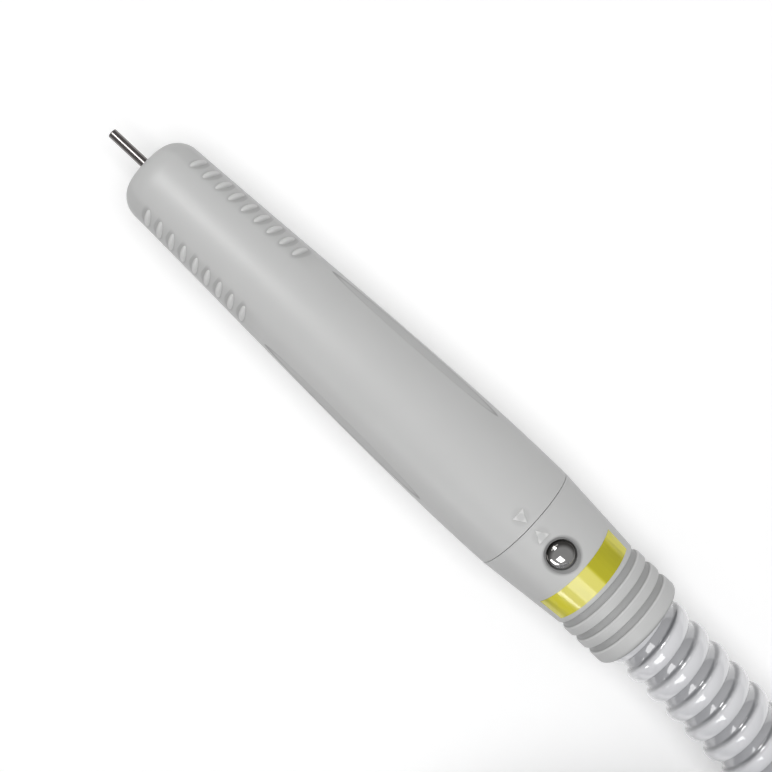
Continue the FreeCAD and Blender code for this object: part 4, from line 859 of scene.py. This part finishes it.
# %% [markdown]
# The touch button is a polished steel dome. Its reflections draw it, so it needs a very smooth
# surface: a spin of a fine circular arc. The stem, the groove for its seal and the flange below
# come along in the same profile.

# %% touch button
BUTTON_RADIUS = 3.2
BUTTON_DOME = 1.35
BUTTON_TOP = 0.75
BUTTON_GUIDE = 3.4
SEAL_GROOVE = 2.87
FLANGE_RADIUS = 4.4
# The stem below the dome, from the top down, as (height, radius).
STEM = (
    (-1.5, BUTTON_RADIUS),
    (-1.5, BUTTON_GUIDE),
    (-1.87, BUTTON_GUIDE),
    (-1.87, SEAL_GROOVE),
    (-2.53, SEAL_GROOVE),
    (-2.53, BUTTON_GUIDE),
    (-3.65, BUTTON_GUIDE),
    (-3.65, FLANGE_RADIUS),
    (-4.25, FLANGE_RADIUS),
    (-4.25, 0.0),
)
# Centre and edges of the painted dark reflection and shadow round the dome's rim, in mm.
RIM_SHADE_CENTRE = (0.3, -0.3)
RIM_SHADE_EDGE = (2.1, 3.2)


def touch_button():
    """The dome is an arc that stops short of the edge, where a small step takes over."""
    sphere = (BUTTON_RADIUS**2 + BUTTON_DOME**2) / (2 * BUTTON_DOME)
    half = math.degrees(math.asin(BUTTON_RADIUS / sphere))
    centre = (BUTTON_TOP - sphere, 0.0)
    dome = arc_points(centre, sphere, 0, half - 1.5, 28)
    edge = (BUTTON_TOP - BUTTON_DOME - 0.06, BUTTON_RADIUS)
    bm = spun([(BUTTON_TOP, 0.0), *dome[1:], edge, *STEM], SMALL_STEPS, closed=False)
    bmesh.ops.transform(bm, matrix=ON_BUTTON @ UPRIGHT, verts=bm.verts)
    return bm


def dome_finish():
    """Mirror-smooth steel with faint polishing marks, darkening towards the rim: painted dark
    reflection and shadow.
    """
    f = Finish("polished_dome_steel")
    x, y = f.body_axes()[:2]
    aside = f.length(x - (BUTTON_X + RIM_SHADE_CENTRE[0]), y - RIM_SHADE_CENTRE[1])
    smear = f.noise(400, 3)
    middle = f.mix(smear, (0.56, 0.555, 0.55), (0.66, 0.65, 0.64))
    return f.set(
        Base_Color=f.mix(f.step(aside, *RIM_SHADE_EDGE), middle, (0.12, 0.115, 0.11)),
        Metallic=1.0,
        Roughness=f.spread(smear, 0.03, 0.07),
        Normal=f.bump(f.noise(900, 2), 0.0005, 0.3),
    )


dome = touch_button()
finish_piece(
    "touch_button_dome", dome, "button", dome_finish(), ["touch_button"], 30
)

# %% [markdown]
# The yellow band is a strip of glossy film laid over the cone. Film is flexible, so its long
# edges run straight over the top of the cone, and lie square to it. A grid is wrapped round the
# cone and given the film's thickness by the solidify operator.

# %% yellow band
BAND_START = 15.4
BAND_WIDTH = 6.2
BAND_HALF_ANGLE = 61.0
BAND_THICKNESS = 0.12
SEAT = 0.02
# A painted reflection and a painted shade along the film, across the handpiece in mm from its
# middle.
PAINTED_REFLECTION_STREAK = ((-7.6, -5.6), (1.5, 2.4))
PAINTED_SHADE_STREAK = ((1.6, 2.6), (7.2, 8.6))


def yellow_band():
    """A grid over the cone, with straight long edges, thickened outwards."""
    bm = bmesh.new()
    bmesh.ops.create_grid(bm, x_segments=10, y_segments=72, size=0.5)
    top_x = SLEEVE_LENGTH + BAND_START
    for vert in bm.verts:
        along = (vert.co.x + 0.5) * BAND_WIDTH
        angle = vert.co.y * 2 * math.radians(BAND_HALF_ANGLE)
        lean = CONE_SLOPE * cone_radius(top_x) * (1 - math.cos(angle))
        x = top_x + along - lean
        radius = cone_radius(x) + SEAT
        vert.co = Vector((x, -radius * math.sin(angle), radius * math.cos(angle))) * MM
    bmesh.ops.recalc_face_normals(bm, faces=bm.faces)
    if sum(face.normal.z for face in bm.faces) < 0:
        bmesh.ops.reverse_faces(bm, faces=bm.faces[:])
    bmesh.ops.solidify(bm, geom=bm.faces[:], thickness=-BAND_THICKNESS * MM)
    bmesh.ops.transform(bm, matrix=ON_AXIS, verts=bm.verts)
    return bm


def yellow_film():
    """Glossy film, its tint in long streaks as it is stretched, with a painted reflection and
    painted shade.
    """
    f = Finish("yellow_film")
    y = f.body_axes()[1]
    streaks = f.noise(330, 2, (0.12, 1, 1))
    olive = (0.46, 0.43, 0.012)
    yellow = (0.74, 0.68, 0.035)
    pale = (0.86, 0.80, 0.22)
    colour = f.mix(f.step(streaks, 0.35, 0.65), olive, yellow)
    # Painted reflection of a pale pane along the band.
    colour = f.mix(f.between(y, *PAINTED_REFLECTION_STREAK) * 0.75, colour, pale)
    # Painted shade along the band's darker side.
    colour = f.mix(f.between(y, *PAINTED_SHADE_STREAK) * 0.8, colour, olive)
    return f.set(
        Base_Color=colour,
        Roughness=f.spread(f.noise(700, 3, (0.1, 1, 1)), 0.08, 0.2),
        Coat_Weight=0.5,
        Coat_Roughness=0.04,
        Normal=f.bump(f.noise(300, 1, (0.08, 1, 1)), 0.03, 0.5),
    )


finish_piece(
    "yellow_band_film", yellow_band(), "handle", yellow_film(), ["yellow_band"], 30
)

# %% [markdown]
# The drill shank is a plain ground pin of 2.35 mm. Its only shape is the rounded edge at each
# end, so a spin of a short profile is enough, and the finish does the rest.

# %% drill shank
SHANK_RADIUS = 1.175
SHANK_LENGTH = 44.5
SHANK_ROUND = 0.3


def drill_shank():
    tip = -SHANK_REACH
    end = tip + SHANK_LENGTH
    inner = SHANK_RADIUS - SHANK_ROUND
    nose = arc_points((tip + SHANK_ROUND, inner), SHANK_ROUND, 180, 90, 6)
    tail = arc_points((end - SHANK_ROUND, inner), SHANK_ROUND, 90, 0, 6)
    bm = spun([(tip, 0)] + nose + tail + [(end, 0)], 64, closed=False)
    bmesh.ops.transform(bm, matrix=ON_AXIS, verts=bm.verts)
    return bm


finish_piece(
    "drill_shank_pin", drill_shank(), "tool", shank_steel, ["drill_shank"], 50
)

# %% [markdown]
# The hose is a spiral-wound corrugated tube, 20.4 mm across, and 1.5 m of it hangs on the
# handpiece. It leaves the collar level, sinks to the table, and what the picture doesn't show is
# wound in a neat coil. Its line is one NURBS curve. The first points are the ones that the packed
# tube was laid along, and a loop adds the turns of the coil. Such a curve runs a little inside
# its points on a bend, so the coil's points lie 0.8 mm further out.

# %% hose route
HOSE_RADIUS = 10.2
HOSE_SEAT = 11.9
HOSE_EXIT = Vector((BODY_LENGTH - HOSE_SEAT - MIDDLE_X, 0.0, AXIS_HEIGHT)) * MM
HOSE_POINTS = [
    HOSE_EXIT,
    Vector((0.0960, 0.0, 0.01413)),
    Vector((0.1360, -0.0029, 0.0126)),
    Vector((0.1680, -0.0058, 0.0106)),
    Vector((0.1970, -0.0091, 0.0103)),
]
COIL_RADIUS = 102.0
COIL_OUTSET = 0.8
COIL_DEGREES = 2 * 360 + 51.5
COIL_STEP = 18.0
RAMP_START = 262.0
RAMP_END = 322.0
LYING_LEVEL = 10.3
run = HOSE_POINTS[-1] - HOSE_POINTS[-2]
heading = math.atan2(run.y, run.x)
inward = Vector((math.sin(heading), -math.cos(heading), 0))
coil_centre = HOSE_POINTS[-1] + inward * COIL_RADIUS * MM


def coil_level(swept):
    """Height of the hose after so many degrees of coil: flat turns joined by short ramps."""
    turns, part = divmod(swept, 360.0)
    share = min(max((part - RAMP_START) / (RAMP_END - RAMP_START), 0.0), 1.0)
    eased = share * share * (3 - 2 * share)
    return LYING_LEVEL + 2 * HOSE_RADIUS * (turns + eased)


def coil_point(swept):
    """Where the hose is after so many degrees of coil."""
    angle = heading + math.pi / 2 - math.radians(swept)
    flat = Vector((math.cos(angle), math.sin(angle), 0)) * (COIL_RADIUS + COIL_OUTSET) * MM
    point = coil_centre + flat
    point.z = coil_level(swept) * MM
    return point


def route_points():
    swept = np.arange(COIL_STEP, COIL_DEGREES - COIL_STEP / 2, COIL_STEP)
    return HOSE_POINTS + [coil_point(a) for a in (*swept, COIL_DEGREES)]


def nurbs_line(points):
    """Close points read from a NURBS curve along the route."""
    curve = bpy.data.curves.new("route", "CURVE")
    curve.dimensions = "3D"
    curve.resolution_u = 16
    spline = curve.splines.new("NURBS")
    spline.points.add(len(points) - 1)
    for slot, point in zip(spline.points, points):
        slot.co = (*point, 1.0)
    spline.order_u = 3
    spline.use_endpoint_u = True
    obj = bpy.data.objects.new("route", curve)
    bpy.context.collection.objects.link(obj)
    graph = bpy.context.evaluated_depsgraph_get()
    mesh = bpy.data.meshes.new_from_object(obj.evaluated_get(graph))
    line = [vert.co.copy() for vert in mesh.vertices]
    bpy.data.meshes.remove(mesh)
    bpy.data.objects.remove(obj)
    bpy.data.curves.remove(curve)
    return line


hose_line = nurbs_line(route_points())
steps = [(b - a).length for a, b in zip(hose_line, hose_line[1:])]
reach = np.concatenate([[0], np.cumsum(steps)])
print("hose line: %d points, %.3f m" % (len(hose_line), reach[-1]))

# %% [markdown]
# The corrugation winds round the tube like a screw thread: a grey web, then a broad white bead
# that ends in a sharp lip. A spin that also moves along its axis draws exactly that. The straight
# tube is then bent onto the line, and every point of it is carried by its distance along the
# line and a frame that doesn't twist. A mark on each point tells the finish web from bead.

# %% ribbed tube
HOSE_PITCH = 6.72
HOSE_PHASE = 0.085
# One pitch as (share of the pitch, radius, how much bead).
PITCH_SHAPE = [
    (0.00, 8.88, 0.0),
    (0.27, 8.88, 0.0),
    (0.32, 8.98, 0.4),
    (0.36, 9.45, 0.6),
    (0.41, 9.85, 0.85),
    (0.49, 10.12, 1.0),
    (0.58, 10.20, 1.0),
    (0.69, 10.16, 1.0),
    (0.80, 9.98, 1.0),
    (0.90, 9.68, 1.0),
    (0.955, 9.42, 1.0),
    (0.985, 8.96, 0.0),
]
HOSE_STEPS = 34
MEETING = 2e-6


def straight_ribbed_tube(length):
    """The corrugated tube laid along x, cut square at both ends."""
    bm = bmesh.new()
    bead = bm.verts.layers.float.new("bead")
    count = int(length / HOSE_PITCH) + 3
    line = []
    for turn_number in range(-2, count):
        for share, radius, on_bead in PITCH_SHAPE:
            along = HOSE_PITCH * (turn_number + share + HOSE_PHASE) * MM
            vert = bm.verts.new((along, 0, radius * MM))
            vert[bead] = on_bead
            line.append(vert)
    edges = [bm.edges.new(pair) for pair in zip(line, line[1:])]
    revolve(bm, line + edges, HOSE_STEPS, HOSE_PITCH * MM / HOSE_STEPS, merge=False)
    bmesh.ops.remove_doubles(bm, verts=bm.verts, dist=MEETING)
    for cut, outward in ((0.0, -1), (length * MM, 1)):
        bmesh.ops.bisect_plane(
            bm,
            geom=bm.verts[:] + bm.edges[:] + bm.faces[:],
            plane_co=(cut, 0, 0),
            plane_no=(outward, 0, 0),
            clear_outer=True,
        )
        open_edges = [edge for edge in bm.edges if edge.is_boundary]
        rim = [e for e in open_edges if all(abs(v.co.x - cut) < MEETING / 2 for v in e.verts)]
        bmesh.ops.contextual_create(bm, geom=rim)
    bmesh.ops.recalc_face_normals(bm, faces=bm.faces)
    return bm


def carried_frames(line):
    """Two directions square to the line at each of its points, without twist."""
    tangents = [(b - a).normalized() for a, b in zip(line, line[1:])]
    tangents.append(tangents[-1].copy())
    side = tangents[0].cross(Vector((0, 0, 1))).normalized()
    frames = []
    for before, now in zip([tangents[0]] + tangents, tangents):
        side = before.rotation_difference(now) @ side
        side = (side - now * side.dot(now)).normalized()
        frames.append((side, side.cross(now)))
    return frames


def bend_along(bm, line, distances):
    """Carries a straight mesh onto the line, by each point's distance along x."""
    sides, ups = zip(*carried_frames(line))
    along, aside, above = np.array([tuple(v.co) for v in bm.verts]).T
    spot, side, up = [
        [np.interp(along, distances, axis) for axis in np.array([tuple(p) for p in points]).T]
        for points in (line, sides, ups)
    ]
    moved = [spot[k] - side[k] * aside + up[k] * above for k in range(3)]
    for vert, place in zip(bm.verts, zip(*moved)):
        vert.co = place


def hose_finish():
    """Grey half-clear web between broad white glossy beads, with painted shade where a bead rises.
    """
    f = Finish("ribbed_hose_plastic")
    bead = f.node("ShaderNodeAttribute", {"attribute_name": "bead"}, {}, "Fac")
    cloud = f.noise(160, 3)
    web = f.mix(cloud, (0.36, 0.362, 0.38), (0.46, 0.462, 0.48))
    white = f.mix(cloud, (0.76, 0.762, 0.785), (0.82, 0.822, 0.845))
    # Painted shade in the step where a bead rises from the web.
    rise = 1 - f.maths("ABSOLUTE", 2 * bead - 1)
    two_tone = f.mix(f.step(bead, 0.5, 0.95), web, white)
    return f.set(
        Base_Color=f.mix(rise * 0.8, two_tone, (0.13, 0.135, 0.145)),
        Roughness=f.spread(f.noise(500, 3), 0.05, 0.11),
        Specular_IOR_Level=0.9,
        Coat_Weight=1.0,
        Coat_Roughness=0.03,
        Coat_IOR=1.7,
        Normal=f.bump(f.noise(420, 2), 0.03, 0.3),
    )


hose = straight_ribbed_tube(reach[-1] / MM)
outward = sum(face.normal.y * face.calc_center_median().y > 0 for face in hose.faces)
print("hose: %d faces, %.0f%% outward, %d open edges" % (
    len(hose.faces),
    100 * outward / len(hose.faces),
    sum(edge.is_boundary for edge in hose.edges),
))
bend_along(hose, hose_line, reach)
plain_hose = ["hose", "hose_coil"]
hose_piece = finish_piece(
    "ribbed_hose", hose, "handle", hose_finish(), plain_hose, 50, tidy=False
)

# %% [markdown]
# Everything else keeps the shape that it came with, because it is right, and gets a finish that
# suits it: ground steel for bearings and spindle, brass for the cam, copper for the windings.

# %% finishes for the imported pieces
PACKED_FINISHES = (
    (turned_brass, ("cam_sleeve", "balance_rings")),
    (spring_steel, ("retaining_ring", "disc_springs", "preload_washer")),
    (seal_rubber, ("sleeve_seal", "button_seal", "cable_grommet")),
    (switch_plastic, ("switch_plunger", "button_switch", "contact_insert")),
    (board_green, ("switch_board", "sensor_board")),
    (anodised, ("motor_housing", "end_cap")),
    (ground_steel, ("spigot_screws", "cross_pin", "cam_pins", "collet", "thrust_collar")),
    (ground_steel, ("release_ring", "nose_nut", "spindle", "bearing_balls")),
    (ground_steel, ("front_bearing_outer_rings", "front_bearing_inner_rings")),
    (ground_steel, ("rear_bearing_outer_ring", "rear_bearing_inner_ring")),
    (ground_steel, ("outer_ring_spacer", "inner_ring_spacer")),
    (cage_plastic, ("bearing_cages",)),
    (core_sheets, ("stator_core",)),
    (copper_wire, ("stator_windings",)),
    (magnet_nickel, ("rotor_magnet",)),
    (cable_jacket, ("motor_cable",)),
    (cuff_plastic, ("hose_cuff",)),
    (plug_plastic, ("hose_plug",)),
    (gold_plate, ("contact_pins",)),
)
for material, names in PACKED_FINISHES:
    for name in names:
        for place in nodes[name].material_slots:
            place.material = material
print("finished packed pieces:", sum(len(names) for material, names in PACKED_FINISHES))

# %% [markdown]

# %% [markdown]
# The picture's ground is white, with a soft shadow under the handpiece. The floor is a pale
# diffuse plane that takes the shadow. Light Path lets it show a little brighter to the camera
# than the light alone would make it, without more light falling on the object. The sky is
# white to the camera too, and gives off a third of that.

# %% floor and world
FLOOR_GLOW = 0.25
FLOOR_HALF = 3.0
SKY_LIGHT = 0.33


def shown_directly(f):
    """1 for what the camera sees itself, in a mirror or through glass, and 0 for other light."""
    rays = f.tree.nodes.new("ShaderNodeLightPath")
    seen = Value(f, rays.outputs["Is Camera Ray"]) + Value(f, rays.outputs["Is Glossy Ray"])
    return (seen + Value(f, rays.outputs["Is Transmission Ray"])).clamped()


def floor_finish():
    f = Finish("pale_floor")
    f.set(Base_Color=(0.86, 0.86, 0.86), Roughness=0.9, Specular_IOR_Level=0.0)
    strength = shown_directly(f) * FLOOR_GLOW
    glow = f.node("ShaderNodeEmission", {}, {"Color": (1, 1, 1, 1), "Strength": strength})
    both = f.node("ShaderNodeAddShader", {}, {})
    add = both.socket.node
    f.tree.links.new(f.surface.outputs["BSDF"], add.inputs[0])
    f.tree.links.new(glow.socket, add.inputs[1])
    out = next(n for n in f.tree.nodes if n.type == "OUTPUT_MATERIAL")
    f.tree.links.new(both.socket, out.inputs["Surface"])
    return f.material


floor_bm = bmesh.new()
bmesh.ops.create_grid(floor_bm, x_segments=1, y_segments=1, size=FLOOR_HALF)
floor = as_object(floor_bm, "floor")
floor.data.materials.append(floor_finish())

world = bpy.data.worlds.new("studio")
bpy.context.scene.world = world
world.use_nodes = True
sky = world.node_tree
background = sky.nodes["Background"]
rays = sky.nodes.new("ShaderNodeLightPath")
level = sky.nodes.new("ShaderNodeMapRange")
level.inputs["To Min"].default_value = SKY_LIGHT
level.inputs["To Max"].default_value = 1.0
sky.links.new(rays.outputs["Is Camera Ray"], level.inputs["Value"])
sky.links.new(level.outputs["Result"], background.inputs["Strength"])
background.inputs["Color"].default_value = (1, 1, 1, 1)
print("floor and world ready")

# %% [markdown]
# A large softbox over the table does most of the lighting. It shows in no reflection, because the
# real dome mirrors only what stands lower: a strip beyond the nose, which draws the ridge along
# the body, and a window with two panes on the near side. The window and the small lamp over the
# shank are there for their reflections alone, so they add nothing to the plain level of light.

# %% lamps


def lamp(name, place, size, watts, aim=None, on_surfaces=True, in_gloss=True):
    """A flat lamp at a place in metres. It faces down, or its aim."""
    data = bpy.data.lights.new(name, "AREA")
    data.shape = "RECTANGLE"
    data.size, data.size_y = size
    data.energy = watts
    obj = bpy.data.objects.new(name, data)
    obj.location = place
    if aim:
        obj.rotation_euler = (Vector(aim) - Vector(place)).to_track_quat("-Z", "Y").to_euler()
    obj.visible_diffuse = on_surfaces
    obj.visible_glossy = in_gloss
    bpy.context.collection.objects.link(obj)
    return obj


lamp("overhead_softbox", (0.03, 0.00, 1.00), (0.76, 0.76), 6.0, in_gloss=False)
lamp("strip", (-0.44, 0.03, 0.40), (0.55, 0.08), 0.35, aim=(0, 0, 0))
lamp("window_upper_pane", (0.33, -0.26, 0.49), (0.44, 0.34), 1.3, on_surfaces=False)
lamp("window_lower_pane", (0.20, -0.54, 0.25), (0.50, 0.12), 1.1, (0.1, 0, 0), on_surfaces=False)
lamp("shank_lamp", (-0.104, 0.0, 0.15), (0.12, 0.05), 0.15, on_surfaces=False)

bpy.context.scene.view_settings.view_transform = "Standard"
print("lamps ready")
